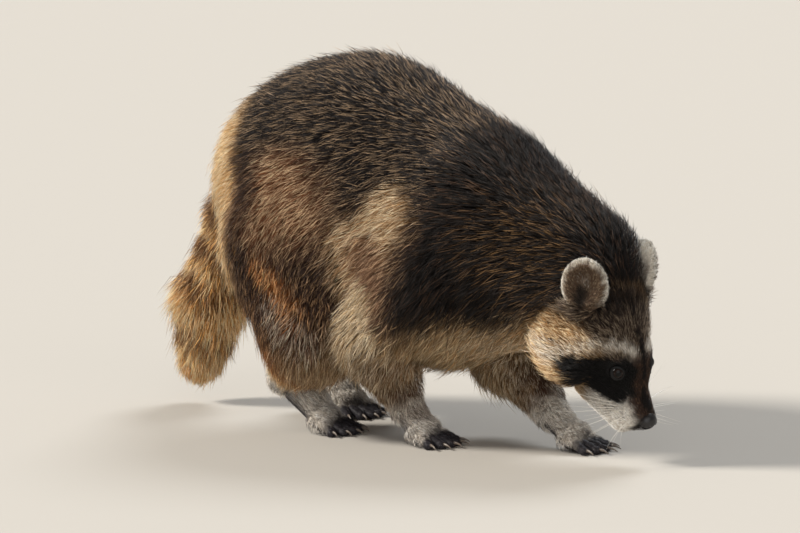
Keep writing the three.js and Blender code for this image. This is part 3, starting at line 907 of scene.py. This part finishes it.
def clumps(roots, size, draw):
    """Roots that lead a clump, and for each root the number of the clump it belongs to."""
    count = len(roots)
    leaders = draw.choice(count, max(1, int(count / (size * size * CLUMP_FILL))), replace=False)
    tree = KDTree(len(leaders))
    for i, leader in enumerate(leaders):
        tree.insert(roots[leader], i)
    tree.balance()
    return leaders, np.array([tree.find(r)[1] for r in roots])


def tuft_colours(paint, shade, is_light):
    """Dark at the root, and light or darker at the tip."""
    root, middle, light = (paint.colours[:, k] for k in range(3))
    ring = np.where(is_light[:, None], 0.72 * middle + 0.28 * light, 0.9 * middle)
    tip = np.where(is_light[:, None], light, 0.6 * middle)
    return np.clip(np.stack([root, ring, ring, ring, tip], axis=1) * shade[:, None, None], 0, 1)


def grow(roots, normal, way, length, width, depth, paint, seed, clump=5.0, pull=0.4, tousle=0.2):
    """Points (count, 5, 3), faces of one tuft, and colours (count, 5, 3) of the tufts on roots."""
    draw = np.random.default_rng(seed)
    count = len(roots)
    leaders, mine = clumps(roots, clump, draw)
    sideways = np.cross(normal, way)
    swing = draw.normal(0, tousle, len(leaders))[mine] + draw.normal(0, tousle, count)
    way = unit(way + swing[:, None] * sideways)
    length = length * draw.uniform(0.78, 1.12, count) * draw.uniform(0.9, 1.1, len(leaders))[mine]
    rise = np.clip(depth / length * draw.normal(0.92, 0.16, count), 0.03, 0.93)
    guard = draw.random(count) < GUARD_SHARE
    length = np.where(guard, GUARD_LENGTH * length, length)
    flat = np.sqrt(1 - rise * rise)
    tip = roots + length[:, None] * (flat[:, None] * way + rise[:, None] * normal)
    at = leaders[mine]
    leader = tip[at] + LEADER_SPREAD * (roots - roots[at])
    strength = pull * draw.uniform(0.3, 1.0, len(leaders))[mine]
    in_reach = np.linalg.norm(leader - tip, axis=1) < 0.9 * length
    tip = tip + strength[:, None] * (leader - tip) * in_reach[:, None]
    early = np.minimum(rise * 1.35, 0.95)[:, None]
    bend = roots + RING_AT * length[:, None] * (np.sqrt(1 - early**2) * way + early * normal)
    bend = bend + 0.25 * strength[:, None] * (leader - tip)
    side = unit(np.cross(way, normal))
    width = width * draw.uniform(0.7, 1.25, count)
    points, faces = tuft_arrays(roots - SINK * normal, bend, tip, side, normal, width)
    points[..., 2] = np.maximum(points[..., 2], FLOOR_CLEARANCE)
    shade = np.exp(draw.normal(0, 0.16, count) + draw.normal(0, 0.10, len(leaders))[mine])
    is_light = draw.random(count) < paint.light
    return points, faces, tuft_colours(paint, shade, is_light)


def coat_piece(name, tufts, roots, unwrapping, material):
    """One mesh of many tufts, with its bake map."""
    points, faces, colours = tufts
    count, per = points.shape[:2]
    every = (faces[None] + np.arange(count)[:, None, None] * per).reshape(-1, 3)
    piece = make_mesh(name, points.reshape(-1, 3), every, colours.reshape(-1, 3))
    layer = piece.data.uv_layers.new(name="OFBake")
    uv = unwrap(roots, *unwrapping)[:, None] + tuft_patch(faces)[None]
    layer.data.foreach_set("uv", uv.astype(np.float32).ravel())
    piece.data.materials.append(material)
    print(name, count, "tufts,", len(every), "triangles")
    return piece


# %% Length, width and density of the body's tufts
def fringe(p, normal):
    """How much the coat hangs in long loose hair: under the body, behind arm and thigh."""
    under = step(0.0, -0.7, normal[:, 2]) * step(40, 60, p[:, 2])
    elbow = inside_limb(folded(p), [8, 104, 150], [14, 98, 92], 20, 24, 12)
    knee = inside_limb(folded(p), [-30, 118, 108], [-40, 90, 66], 26, 22, 12)
    return np.clip(np.maximum(under, np.maximum(elbow, knee)), 0, 1)


def ruff(p, share):
    """How much a place belongs to the long hair of the cheeks and throat."""
    q = to_head(p)
    return step(-78, -104, q[:, 0]) * step(24, -4, q[:, 2]) * step(0.4, 0.8, share["head"] + share["neck"])


def tuft_length(depth, loose):
    return np.minimum((1.4 * depth + 3.0) * (1 + 0.55 * loose), 44.0)


def tuft_width(length):
    return 0.30 + 0.015 * length


def tuft_density(p, normal, share):
    q = to_head(p)
    thick = 0.50 * share["trunk"] + 0.53 * share["neck"] + 1.05 * share["tail"]
    thick = thick + share["head"] * (1.6 - 0.7 * step(-50, -110, q[:, 0]))
    for name in LIMBS:
        thick = thick + 0.48 * share["upper_" + name] + 0.70 * share["lower_" + name]
    thick = thick * (1 - 0.4 * step(-0.75, -0.95, normal[:, 2]))
    on_ear, hollow, _ = ear_parts(p)
    return thick + (2.2 - 1.0 * hollow - thick) * on_ear


# %% The tufts of the body
density = tuft_density(skin_points, skin_normals, skin_shares)
clear = np.min([np.linalg.norm(to_head(skin_points) - EYE * [1, s, 1], axis=1) for s in (-1, 1)], axis=0)
density = density * step(7.5, 9.0, clear) * step(1.0, 2.0, mouth_gap(to_head(skin_points)))
roots, root_normals = scatter(skin_points, skin_faces, skin_normals, density, 11)
root_shares = shares(masses(roots)[0])
on_ear, in_hollow, _ = ear_parts(roots)
depths = coat_depth(roots, root_shares) * (1 - 0.15 * root_shares["tail"])
loose = np.maximum(fringe(roots, root_normals), ruff(roots, root_shares))
lengths = tuft_length(depths, loose)
lengths += (EAR_HAIR + (EAR_INNER_HAIR - EAR_HAIR) * in_hollow - lengths) * on_ear
depths += (EAR_HAIR_DEPTH - depths) * on_ear
ways = across(lie(roots, root_normals, root_shares), root_normals)
strays = np.random.default_rng(13).normal(0, 0.13, (len(roots), 3)) * lengths[:, None]
root_paint = coat_paint(roots + 0.3 * lengths[:, None] * ways + strays, root_normals, root_shares)
tufts = grow(roots, root_normals, ways, lengths, tuft_width(lengths), depths, root_paint, 12)
print("coat:", len(roots), "tufts")

# %% The coat in pieces
BACK_FROM, BELLY_FROM = 0.35, -0.6  # upward part of the skin's direction
FACE_BACK = -70                     # x of the face's end, in the head's axes
fur = coat_material("guard_hair_over_underfur", 0.6)
names = list(root_shares)
main = np.array(names)[np.argmax([root_shares[n] for n in names], axis=0)]
on_trunk, on_neck, on_head = main == "trunk", main == "neck", main == "head"
upward, on_right = root_normals[:, 2], roots[:, 1] < 0
back, belly = upward > BACK_FROM, upward <= BELLY_FROM
face = to_head(roots)[:, 0] > FACE_BACK
groups = {
    "coat_back_right": on_trunk & back & on_right,
    "coat_back_left": on_trunk & back & ~on_right,
    "coat_flank_right": on_trunk & ~back & ~belly & on_right,
    "coat_flank_left": on_trunk & ~back & ~belly & ~on_right,
    "coat_belly": on_trunk & belly,
    "coat_neck_right": on_neck & on_right,
    "coat_neck_left": on_neck & ~on_right,
    "coat_face": on_head & face,
    "coat_cheeks": on_head & ~face,
    "coat_tail": main == "tail",
}
for name in LIMBS:
    groups["coat_" + name] = np.isin(main, ["upper_" + name, "lower_" + name])
TRUNK_UNWRAP = ([-30, 0, 215], [1, 0, 0], True)     # centre, axis, and whether it is like a ball
NECK_UNWRAP = ([150, 0, 180], [1, 0, -0.3], False)
UNWRAPS = {
    "coat_neck_right": NECK_UNWRAP,
    "coat_neck_left": NECK_UNWRAP,
    "coat_face": (from_head([-60, 0, 0]), HEAD_AXES[:, 0], True),
    "coat_cheeks": (from_head([-95, 0, 0]), HEAD_AXES[:, 0], True),
    "coat_tail": ([-255, 0, 120], [-0.25, 0, -1], False),
}
coats = []
points, faces, colours = tufts
for name, chosen in groups.items():
    unwrapping = UNWRAPS.get(name, TRUNK_UNWRAP)
    if name[5:] in LIMBS:
        _, (top, _, low, _), _ = LIMBS[name[5:]]
        unwrapping = (np.mean([top, low], axis=0), np.subtract(low, top), False)
    chosen_tufts = (points[chosen], faces, colours[chosen])
    coats.append(coat_piece(name, chosen_tufts, roots[chosen], unwrapping, fur))

# %% [markdown]
# ## Feet
# A raccoon walks on flat feet with five long toes, like hands. Each foot is a finer mesh of
# its own from the same kind of distance, with knuckles along the toes and a flat sole. Its
# round upper end is buried in the leg, under the hair of the hock or wrist.

# %% Toes
DIGIT_SPREAD = [-24, -11, 0, 11, 24]                # degrees from the foot's heading
DIGIT_LENGTH = [0.72, 0.94, 1, 0.92, 0.74]          # of the longest
LONGEST_DIGIT = {"hind": 31, "fore": 29}
CLAW_LENGTH = {"hind": 5, "fore": 7.5}
DIGIT_PITCH = 6.4
KNUCKLE_HEIGHT, TOE_HEIGHT = 9.5, 3.2
CLAW_REACH = 5.7                                    # from a toe's end to the claw's root


def digits(name):
    """Start and end of each toe, and root and tip of its claw."""
    side, joints, heading = LIMBS[name]
    kind = name[:4]
    turned = math.radians(heading)
    sideways = np.array([-math.sin(turned), math.cos(turned), 0])
    result = []
    for i, spread in enumerate(DIGIT_SPREAD):
        angle = math.radians(heading + spread)
        forward = np.array([math.cos(angle), math.sin(angle), 0])
        length = LONGEST_DIGIT[kind] * DIGIT_LENGTH[i if side > 0 else 4 - i]
        start = np.array(joints[3], float) + sideways * (i - 2) * DIGIT_PITCH + forward * 2
        start[2] = KNUCKLE_HEIGHT
        end = start + forward * length
        end[2] = TOE_HEIGHT
        claw_root = end + forward * CLAW_REACH + [0, 0, 0.8]
        claw_tip = claw_root + forward * CLAW_LENGTH[kind]
        claw_tip[2] = 2
        result.append((start, end, claw_root, claw_tip))
    return result


# %% The foot's distance
FOOT_FUR = {"hind": (6.0, 2.5), "fore": (5.5, 2.2)}       # at the leg and at the ball


def foot_distance(name):
    _, (_, _, low, ball), heading = LIMBS[name]
    _, _, r2, r3 = LIMB_RADII[name[:4]]
    above_fur, below_fur = FOOT_FUR[name[:4]]
    toes = digits(name)

    def distance(p):
        d = limb(p, low, ball, r2 - above_fur, r3 - below_fur)
        d = join(d, egg((p - ball) @ turn(heading, 0, 0), [0, 0, 0.5], [14, 16.5, 12.2]), 4)
        for start, end, _, _ in toes:
            arch = (start + end) / 2 + [0, 0, 1.6]
            toe = join(limb(p, start, arch, 4.6, 3.9), limb(p, arch, end, 3.9, 3.6), 1.5)
            for t in (0.36, 0.72):
                at = start + t * (end - start) + [0, 0, 1.6 * (1 - abs(2 * t - 1))]
                toe = join(toe, np.linalg.norm(p - at, axis=1) - 4.3, 2)
            toe = join(toe, np.linalg.norm(p - end - [0, 0, 0.3], axis=1) - 3.9, 1.5)
            d = join(d, toe, 2.2)
        return -join(-d, p[:, 2] - 0.15, 0.8)

    return distance


def paint_foot(name, p, normal):
    _, (_, _, low, ball), _ = LIMBS[name]
    paint = Paint(len(p), "sock")
    on_toes = step(6, 17, (p - ball) @ unit(np.subtract(ball, low) * [1, 1, 0]) + 2 * mottle(p, 9, 31))
    paint.lay("toes", on_toes)
    paint.lay("toes", 0.3 * step(0.1, 0.7, mottle(p, 14, 32)) * step(-12, 4, (p - ball)[:, 0]))
    paint.lay("toes", step(0.0, -0.5, normal[:, 2]))
    if name == "fore_right":
        paint.lay("arm", 0.7 * step(20, 35, p[:, 2]))
    return paint


feet, foot_coats = [], []
for number, name in enumerate(LIMBS):
    low, ball = (np.array(at, float) for at in LIMBS[name][1][2:])
    corners = np.array([low - 26, low + 26, ball - 34, ball + 54])
    lo, hi = corners.min(axis=0), corners.max(axis=0)
    grid = [lines((lo[k], hi[k], 1.5)) for k in (0, 1)] + [lines((-2, hi[2], 1.3))]
    distance = foot_distance(name)
    points, faces = grid_surface(distance, grid)
    points = settle(distance, points)
    normals = slope(distance, points)
    paint = paint_foot(name, points, normals)
    feet.append(make_mesh("foot_skin_" + name, points, faces, paint.colours[:, 1] * 0.6))
    toe_share = step(0, 14, (points - ball) @ unit(ball - low))
    density = (1.1 - 0.25 * toe_share) * step(-0.55, -0.2, normals[:, 2])
    foot_roots, foot_normals = scatter(points, faces, normals, density, 40 + number)
    on_toes = step(-4, 16, (foot_roots - ball) @ unit((ball - low) * [1, 1, 0]))
    depth = 4.0 - 3.3 * on_toes
    forward = unit((ball - low) * [1, 1, 0.6])
    way = across(np.tile(forward, (len(foot_roots), 1)), foot_normals)
    length = 10.0 - 6.8 * on_toes
    foot_tufts = grow(foot_roots, foot_normals, way, length, 0.3 + 0.025 * length, depth,
                      paint_foot(name, foot_roots, foot_normals), 50 + number, clump=3.0, pull=0.3)
    foot_coats.append((name, foot_tufts, foot_roots, (ball, np.subtract(ball, low), True)))
    print(name, "foot:", len(points), "points,", len(foot_roots), "tufts")

# %% Claws
CLAW_RADIUS, CLAW_TIP_RADIUS = 1.55, 0.3


def claw_mesh(name, root, tip):
    """A curved horn, deeper than wide, closed at both ends."""
    rings, sides = 7, 10
    back = unit(root - tip)
    start = root + 2.6 * back
    t = np.linspace(0, 1, rings)[:, None]
    hump = np.array([0, 0, 1.0]) * 4 * t * (1 - t)
    line = start + (tip - start) * t + hump
    ways = unit(np.gradient(line, axis=0))
    sideways = unit(np.cross([0, 0, 1], ways))
    upwards = np.cross(ways, sideways)
    radius = CLAW_TIP_RADIUS + (CLAW_RADIUS - CLAW_TIP_RADIUS) * (1 - t) ** 0.8
    angle = np.arange(sides) * 2 * math.pi / sides
    ring = (np.cos(angle)[None, :, None] * sideways[:, None] * 0.8
            + np.sin(angle)[None, :, None] * upwards[:, None])
    points = (line[:, None] + ring * radius[:, None]).reshape(-1, 3)
    points = np.concatenate([points, [line[0], line[-1] + 0.3 * ways[-1]]])
    tris = []
    for r in range(rings - 1):
        for k in range(sides):
            a, b = r * sides + k, r * sides + (k + 1) % sides
            tris += [[a, b, b + sides], [a, b + sides, a + sides]]
    last = (rings - 1) * sides
    for k in range(sides):
        tris += [[(k + 1) % sides, k, len(points) - 2], [last + k, last + (k + 1) % sides, len(points) - 1]]
    return make_mesh(name, points, tris)


claws = {}
for name in LIMBS:
    for i, (_, _, claw_root, claw_tip) in enumerate(digits(name), start=1):
        claws[f"claw_{name}_{i}"] = claw_mesh(f"horn_{name}_{i}", claw_root, claw_tip)
print(len(claws), "claws")

# %% [markdown]
# ## Eyes and lids
# The eyeball sits in its socket, and only the opening between the lids shows. A lid is a
# thin fold that follows the ball, so it is made in the eye's own axes: a ring of skin that
# starts at an almond-shaped opening, rolls over its edge and sinks into the face.

# %% Eyeballs
def eye_axes(side):
    """Sideways, up and out of the eye, in the head's axes."""
    look = unit([0.50, side * 0.66, 0.56])
    inward = unit(np.array([0.80, -side * 0.62, -0.10]))
    inward = unit(inward - (inward @ look) * look)
    sideways = -side * inward
    return np.stack([sideways, np.cross(look, sideways), look], axis=1)


IRIS_RADIUS, PUPIL_RADIUS = 4.4, 2.9
CORNEA = 0.05                       # how far the front bulges out, over the ball's radius


def eyeball(name, side):
    rings, sides = 32, 48
    polar = np.linspace(0, math.pi, rings + 1)[1:-1]
    around = np.arange(sides) * 2 * math.pi / sides
    bulge = 1 + CORNEA * np.exp(-np.square(polar / 0.75))
    ring, height = np.sin(polar) * bulge, np.outer(np.cos(polar) * bulge, np.ones(sides))
    local = np.stack([np.outer(ring, np.cos(around)), np.outer(ring, np.sin(around)), height], axis=-1)
    local = np.concatenate([local.reshape(-1, 3), [[0, 0, 1 + CORNEA], [0, 0, -1]]]) * (EYE_RADIUS - 0.1)
    tris = []
    for r in range(rings - 2):
        for k in range(sides):
            a, b = r * sides + k, r * sides + (k + 1) % sides
            tris += [[a, a + sides, b + sides], [a, b + sides, b]]
    top, bottom = len(local) - 2, len(local) - 1
    last = (rings - 2) * sides
    for k in range(sides):
        tris += [[top, k, (k + 1) % sides], [bottom, last + (k + 1) % sides, last + k]]
    radius = np.hypot(local[:, 0], local[:, 1]) + 20 * (local[:, 2] < 0)
    iris, pupil, white = linear("#1a0e08"), linear("#020202"), linear("#080606")
    colours = pupil + (iris - pupil) * step(PUPIL_RADIUS - 0.3, PUPIL_RADIUS + 0.3, radius)[:, None]
    colours = colours + (white - colours) * step(IRIS_RADIUS - 0.3, IRIS_RADIUS + 0.4, radius)[:, None]
    points = from_head(local @ eye_axes(side).T + EYE * [1, side, 1])
    return make_mesh(name, points, tris, colours)


eyes = {name: eyeball("ball_of_" + name, side) for name, side in (("eye_right", -1), ("eye_left", 1))}

# %% Lids
OPENING = (57, 43)                  # half angles of the opening, along and across
LID_STEPS = [(0, 0.12), (2, 0.55), (7, 1.0), (16, 1.25), (30, 1.1), (48, 0.2), (62, -1.2)]


def lids(name, side):
    """Both lids of an eye: rings from the opening outwards, at an angle and a height over the ball."""
    sides = 64
    around = np.arange(sides) * 2 * math.pi / sides
    wide, tall = (math.radians(a) for a in OPENING)
    corner = np.abs(np.cos(around)) ** 6
    opening = 1 / np.sqrt(np.square(np.cos(around) / wide) + np.square(np.sin(around) / tall))
    opening = opening * (1 - 0.06 * (1 - corner))
    rings = []
    for extra, height in LID_STEPS:
        polar = opening + math.radians(extra)
        radius = EYE_RADIUS + height
        rings.append(np.stack([np.sin(polar) * np.cos(around), np.sin(polar) * np.sin(around), np.cos(polar)],
                              axis=1) * radius)
    inner = rings[0] * (EYE_RADIUS - 0.8) / EYE_RADIUS
    local = np.concatenate([inner] + rings)
    quads = []
    for r in range(len(rings) + 1):
        following = (r + 1) % (len(rings) + 1) * sides
        for k in range(sides):
            other = (k + 1) % sides
            quads.append([r * sides + k, following + k, following + other, r * sides + other])
    points = from_head(local @ eye_axes(side).T + EYE * [1, side, 1])
    return make_mesh(name, points, quads, np.tile(linear("#040303"), (len(points), 1)))


eyelids = [lids("eyelids_right", -1), lids("eyelids_left", 1)]

# %% [markdown]
# ## Nose
# The nose leather is bare, wet and finely pebbled. Two nostrils open to the front and run
# back along the sides as slits, and a groove runs down the middle to the lip.

# %% Nose leather
def nose_distance(p):
    q = folded(to_head(p))
    d = egg(q, NOSE_PAD[0], [r - 0.2 for r in NOSE_PAD[1]])
    d = join(d, egg(q, [-5.8, 4.9, -2.4], [6.6, 4.4, 6.0]), 1.2)
    nostril = limb(q, [2.4, 3.8, -1.6], [-5.0, 4.6, -2.8], 1.9, 1.5)
    slit = limb(q, [-0.4, 5.6, -2.8], [-5.2, 10.2, -5.0], 1.2, 0.7)
    d = -join(-d, np.minimum(nostril, slit), 0.9)
    groove = limb(q, [2.8, 0, -2.4], [-1.4, 0, -10.5], 0.6, 0.6)
    return -join(-d, groove, 1.0)


nose_points, nose_faces = grid_surface(nose_distance, [
    from_head(NOSE_PAD[0])[k] + lines((-12, 12, 0.5)) for k in range(3)])
nose_points = settle(nose_distance, nose_points)
nose = make_mesh("nose_leather", nose_points, nose_faces)
print("nose:", len(nose_faces), "faces")

# %% [markdown]
# ## Whiskers
# Whiskers are stiff white bristles that grow in rows from the side of the muzzle. Geometry
# Nodes set one curved, tapered bristle on each of a few points, turned and stretched by
# the points' own attributes, and make the copies real, because copies aren't exported.

# %% One bristle, and where the bristles grow
BRISTLE_RADIUS, BRISTLE_BEND = 0.28, 0.22
THICKNESS = 0.05                    # scale across a bristle, while the scale along it is its length


def bristle():
    """A tapered tube of length one along z that bends towards x."""
    rings, sides = 9, 4
    points, faces = [], []
    for r in range(rings):
        t = r / (rings - 1)
        for k in range(sides):
            angle = 2 * math.pi * k / sides
            radius = BRISTLE_RADIUS * MM * (1 - 0.9 * t) / THICKNESS
            points.append((BRISTLE_BEND * t * t + radius * math.cos(angle), radius * math.sin(angle), t))
    for r in range(rings - 1):
        for k in range(sides):
            a, b = r * sides + k, r * sides + (k + 1) % sides
            faces.append((a, b, b + sides, a + sides))
    faces += [tuple(range(sides))[::-1], tuple(range((rings - 1) * sides, rings * sides))]
    mesh = bpy.data.meshes.new("bristle")
    mesh.from_pydata(points, [], faces)
    piece = bpy.data.objects.new("bristle", mesh)
    bpy.context.scene.collection.objects.link(piece)
    return piece


WHISKER_ROWS = [(-4, 4), (-7, 5), (-10, 4)]          # height on the muzzle, and how many
draw = np.random.default_rng(71)
whisker_roots, whisker_aims, whisker_lengths = [], [], []
for side in (-1, 1):
    for height, count in WHISKER_ROWS:
        for k in range(count):
            at = np.array([-15 - 5.0 * k, side * (14 + 1.6 * k), height - 3.0 + 0.2 * k])
            forward, outward = 0.35 - 0.28 * k + draw.normal(0, 0.07), 1.0 + draw.normal(0, 0.08)
            aim = unit([forward, side * outward, 0.10 + height * 0.06])
            whisker_roots.append(at)
            whisker_aims.append(aim)
            whisker_lengths.append((34 + 8 * k) * draw.uniform(0.85, 1.15))
whisker_roots = settle(skin_distance, from_head(whisker_roots), 5)
whisker_aims = np.array(whisker_aims) @ HEAD_AXES.T
print(len(whisker_roots), "whiskers")

# %% Bristles set by Geometry Nodes
def whisker_tree(bristle_piece, material):
    tree = bpy.data.node_groups.new("whiskers", "GeometryNodeTree")
    tree.interface.new_socket("Points", in_out="INPUT", socket_type="NodeSocketGeometry")
    thickness = tree.interface.new_socket("Thickness", in_out="INPUT", socket_type="NodeSocketFloat")
    tree.interface.new_socket("Whiskers", in_out="OUTPUT", socket_type="NodeSocketGeometry")
    group = add(tree, "NodeGroupInput", {})
    named = "GeometryNodeInputNamedAttribute"
    aim = add(tree, named, {"Name": "aim"}, data_type="FLOAT_VECTOR")
    length = add(tree, named, {"Name": "length"}, data_type="FLOAT")
    turned = add(tree, "FunctionNodeAlignRotationToVector", {"Vector": aim.outputs["Attribute"]}, axis="Z")
    size = add(tree, "ShaderNodeCombineXYZ", {
        "X": group.outputs["Thickness"], "Y": group.outputs["Thickness"], "Z": length.outputs["Attribute"]})
    shape = add(tree, "GeometryNodeObjectInfo", {"Object": bristle_piece})
    copies = add(tree, "GeometryNodeInstanceOnPoints", {
        "Points": group.outputs["Points"], "Instance": shape.outputs["Geometry"],
        "Rotation": turned.outputs["Rotation"], "Scale": size.outputs["Vector"]})
    real = add(tree, "GeometryNodeRealizeInstances", {"Geometry": copies.outputs["Instances"]})
    finished = add(tree, "GeometryNodeSetMaterial", {
        "Geometry": real.outputs["Geometry"], "Material": material})
    add(tree, "NodeGroupOutput", {"Whiskers": finished.outputs["Geometry"]})
    return tree, thickness.identifier


def plain_mesh(piece):
    """The piece with its modifiers taken into its mesh."""
    graph = bpy.context.evaluated_depsgraph_get()
    mesh = bpy.data.meshes.new_from_object(piece.evaluated_get(graph))
    piece.modifiers.clear()
    piece.data = mesh
    return piece


bristle_material, _, shader = new_material("stiff_white_bristle")
shader.inputs["Base Color"].default_value = (*linear("#efeae0"), 1)
shader.inputs["Roughness"].default_value = 0.35
whiskers = make_mesh("whiskers", whisker_roots, np.zeros((0, 3), int))
aims = whiskers.data.attributes.new("aim", "FLOAT_VECTOR", "POINT")
aims.data.foreach_set("vector", whisker_aims.astype(np.float32).ravel())
reaches = whiskers.data.attributes.new("length", "FLOAT", "POINT")
reaches.data.foreach_set("value", (np.array(whisker_lengths) * MM).astype(np.float32))
one_bristle = bristle()
tree, socket = whisker_tree(one_bristle, bristle_material)
setter = whiskers.modifiers.new("whiskers", "NODES")
setter.node_group = tree
setter[socket] = THICKNESS
plain_mesh(whiskers)
bpy.data.objects.remove(one_bristle)
print("whiskers:", len(whiskers.data.polygons), "faces")

# %% [markdown]
# ## Finishes of the small parts
# Nose leather is wet and pebbled, so it has a fine bump and a low roughness. An eye is a
# wet, almost black brown. Claws are horn, which is streaked along its growth and a little
# translucent at the tip, shown here as a paler brown. Lids and soles are bare dark skin.

# %% Wet leather of the nose
PEBBLE, PEBBLE_HEIGHT = 0.7, 0.2    # millimetres
leather, leather_nodes, shader = new_material("wet_pebbled_nose_leather")
place = add(leather_nodes, "ShaderNodeTexCoord", {})
pebbles = add(leather_nodes, "ShaderNodeTexVoronoi", {
    "Vector": place.outputs["Object"], "Scale": 1 / (PEBBLE * MM)})
bump = add(leather_nodes, "ShaderNodeBump", {
    "Height": pebbles.outputs["Distance"], "Strength": 0.35, "Distance": PEBBLE_HEIGHT * MM})
leather_nodes.links.new(bump.outputs["Normal"], shader.inputs["Normal"])
shader.inputs["Base Color"].default_value = (*linear("#161314"), 1)
shader.inputs["Roughness"].default_value = 0.32
nose.data.materials.append(leather)

# %% Wet eye, horn and bare skin
eye_material, eye_nodes, shader = new_material("wet_brown_eye")
colour = add(eye_nodes, "ShaderNodeAttribute", {}, attribute_name="coat")
eye_nodes.links.new(colour.outputs["Color"], shader.inputs["Base Color"])
shader.inputs["Roughness"].default_value = 0.05
shader.inputs["Specular IOR Level"].default_value = 0.2
for ball in eyes.values():
    ball.data.materials.append(eye_material)

HORN_STREAK = 1.2                   # millimetres
horn, horn_nodes, shader = new_material("dark_translucent_horn")
place = add(horn_nodes, "ShaderNodeTexCoord", {})
streaks = add(horn_nodes, "ShaderNodeTexNoise", {
    "Vector": place.outputs["Object"], "Scale": 1 / (HORN_STREAK * MM), "Detail": 4.0})
ramp = add(horn_nodes, "ShaderNodeValToRGB", {"Fac": streaks.outputs["Fac"]})
ramp.color_ramp.elements[0].color = (*linear("#2a2420"), 1)
ramp.color_ramp.elements[1].color = (*linear("#8d8074"), 1)
horn_nodes.links.new(ramp.outputs["Color"], shader.inputs["Base Color"])
shader.inputs["Roughness"].default_value = 0.35
for claw in claws.values():
    claw.data.materials.append(horn)

bare = coat_material("bare_lid_and_sole_skin", 0.65)
for piece in feet + eyelids:
    piece.data.materials.append(bare)

# %% The coat of the feet
for name, foot_tufts, foot_roots, unwrapping in foot_coats:
    coats.append(coat_piece("coat_foot_" + name, foot_tufts, foot_roots, unwrapping, fur))

# %% [markdown]
# ## Light, floor and camera
# The camera stands low and a few metres off, a little in front of the animal's right side,
# with a long lens. Soft light like a window's comes from one side and shows how deep the
# coat is. A weaker one opens the shadows, and one from behind draws the outline. They are
# suns with a wide angle, so that the plain pale floor is lit the same everywhere.

# %% Camera
FRAME_WIDTH, SENSOR_WIDTH = 800, 36.0    # pixels, and millimetres
CAMERA_YAW, CAMERA_ELEVATION = math.radians(42), math.radians(7)
CAMERA_RANGE, CAMERA_LENS = 3500.0, 170.1
back = Vector((math.sin(CAMERA_YAW) * math.cos(CAMERA_ELEVATION),
               -math.cos(CAMERA_YAW) * math.cos(CAMERA_ELEVATION), math.sin(CAMERA_ELEVATION)))
right = Vector((math.cos(CAMERA_YAW), math.sin(CAMERA_YAW), 0))
above = back.cross(right)
AIM = Vector((60, -33, 8))               # in the sole of the right fore paw
AIM_RIGHT, AIM_DOWN = 30, 169.5          # pixels from the middle of the frame to that place
pixel = CAMERA_RANGE * SENSOR_WIDTH / (CAMERA_LENS * FRAME_WIDTH)      # millimetres at the aim
place = AIM + Vector(ORIGIN) - right * (AIM_RIGHT * pixel) + above * (AIM_DOWN * pixel)
place += back * CAMERA_RANGE
camera_data = bpy.data.cameras.new("camera")
camera_data.lens = CAMERA_LENS
camera_data.sensor_width = SENSOR_WIDTH
camera_data.clip_end = 300
camera = bpy.data.objects.new("camera", camera_data)
camera.rotation_mode = "QUATERNION"
camera.rotation_quaternion = back.to_track_quat("Z", "Y")
camera.location = place * MM
bpy.context.scene.collection.objects.link(camera)
bpy.context.scene.camera = camera

# %% Lights
def soft_sun(name, comes_from, strength, angle, colour):
    data = bpy.data.lights.new(name, "SUN")
    data.energy = strength
    data.angle = math.radians(angle)
    data.color = colour
    lamp = bpy.data.objects.new(name, data)
    lamp.rotation_mode = "QUATERNION"
    lamp.rotation_quaternion = Vector(comes_from).to_track_quat("Z", "Y")
    bpy.context.scene.collection.objects.link(lamp)


soft_sun("key", (-0.72, -0.80, 0.78), 4.2, 14, (1.0, 0.955, 0.885))
soft_sun("fill", (1.0, -0.75, 0.45), 0.9, 60, (1.0, 0.98, 0.96))
soft_sun("rim", (-0.25, 0.9, 1.1), 1.7, 25, (0.92, 0.96, 1.0))
world = bpy.data.worlds.new("studio")
world.use_nodes = True
world.node_tree.nodes["Background"].inputs["Color"].default_value = (0.84, 0.82, 0.80, 1)
world.node_tree.nodes["Background"].inputs["Strength"].default_value = 0.38
bpy.context.scene.world = world
bpy.context.scene.view_settings.view_transform = "Standard"

# %% Floor
FLOOR_HALF = 90                          # metres
floor_mesh = bpy.data.meshes.new("floor")
floor_mesh.from_pydata([(x, y, 0) for x, y in ((-1, -1), (1, -1), (1, 1), (-1, 1))], [], [(0, 1, 2, 3)])
floor_mesh.transform(Matrix.Scale(FLOOR_HALF, 4))
floor = bpy.data.objects.new("floor", floor_mesh)
bpy.context.scene.collection.objects.link(floor)
plain, tree, shader = new_material("plain_pale_floor")
shader.inputs["Base Color"].default_value = (*linear("#b9b4ac"), 1)
shader.inputs["Roughness"].default_value = 0.9
floor_mesh.materials.append(plain)

# %% [markdown]
# ## What each piece stands for
# The model doesn't move, so every piece rides on its one body. The skin stands in for all
# the solids of flesh, and each foot, claw, eye and the nose for its own solid. Lids,
# whiskers and coat are there besides.

# %% What rides, and what it stands for
PAIRED_FLESH = ["thigh", "shank", "upper_arm", "forearm", "ear"]
FLESH = ["trunk", "chest", "neck", "head", "tail"]
FLESH += [f"{part}_{side}" for part in PAIRED_FLESH for side in ("right", "left")]
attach(skin, "root")
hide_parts(*FLESH)
for name, foot in zip(LIMBS, feet):
    part = name.replace("hind", "foot").replace("fore", "paw")
    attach(foot, "root")
    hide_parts(part)
for node, claw in claws.items():
    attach(claw, "root")
    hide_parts(node)
for node, ball in eyes.items():
    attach(ball, "root")
    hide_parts(node)
for lid in eyelids:
    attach(lid, "root")
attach(nose, "root")
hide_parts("nose")
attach(whiskers, "root")
for piece in coats:
    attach(piece, "root")
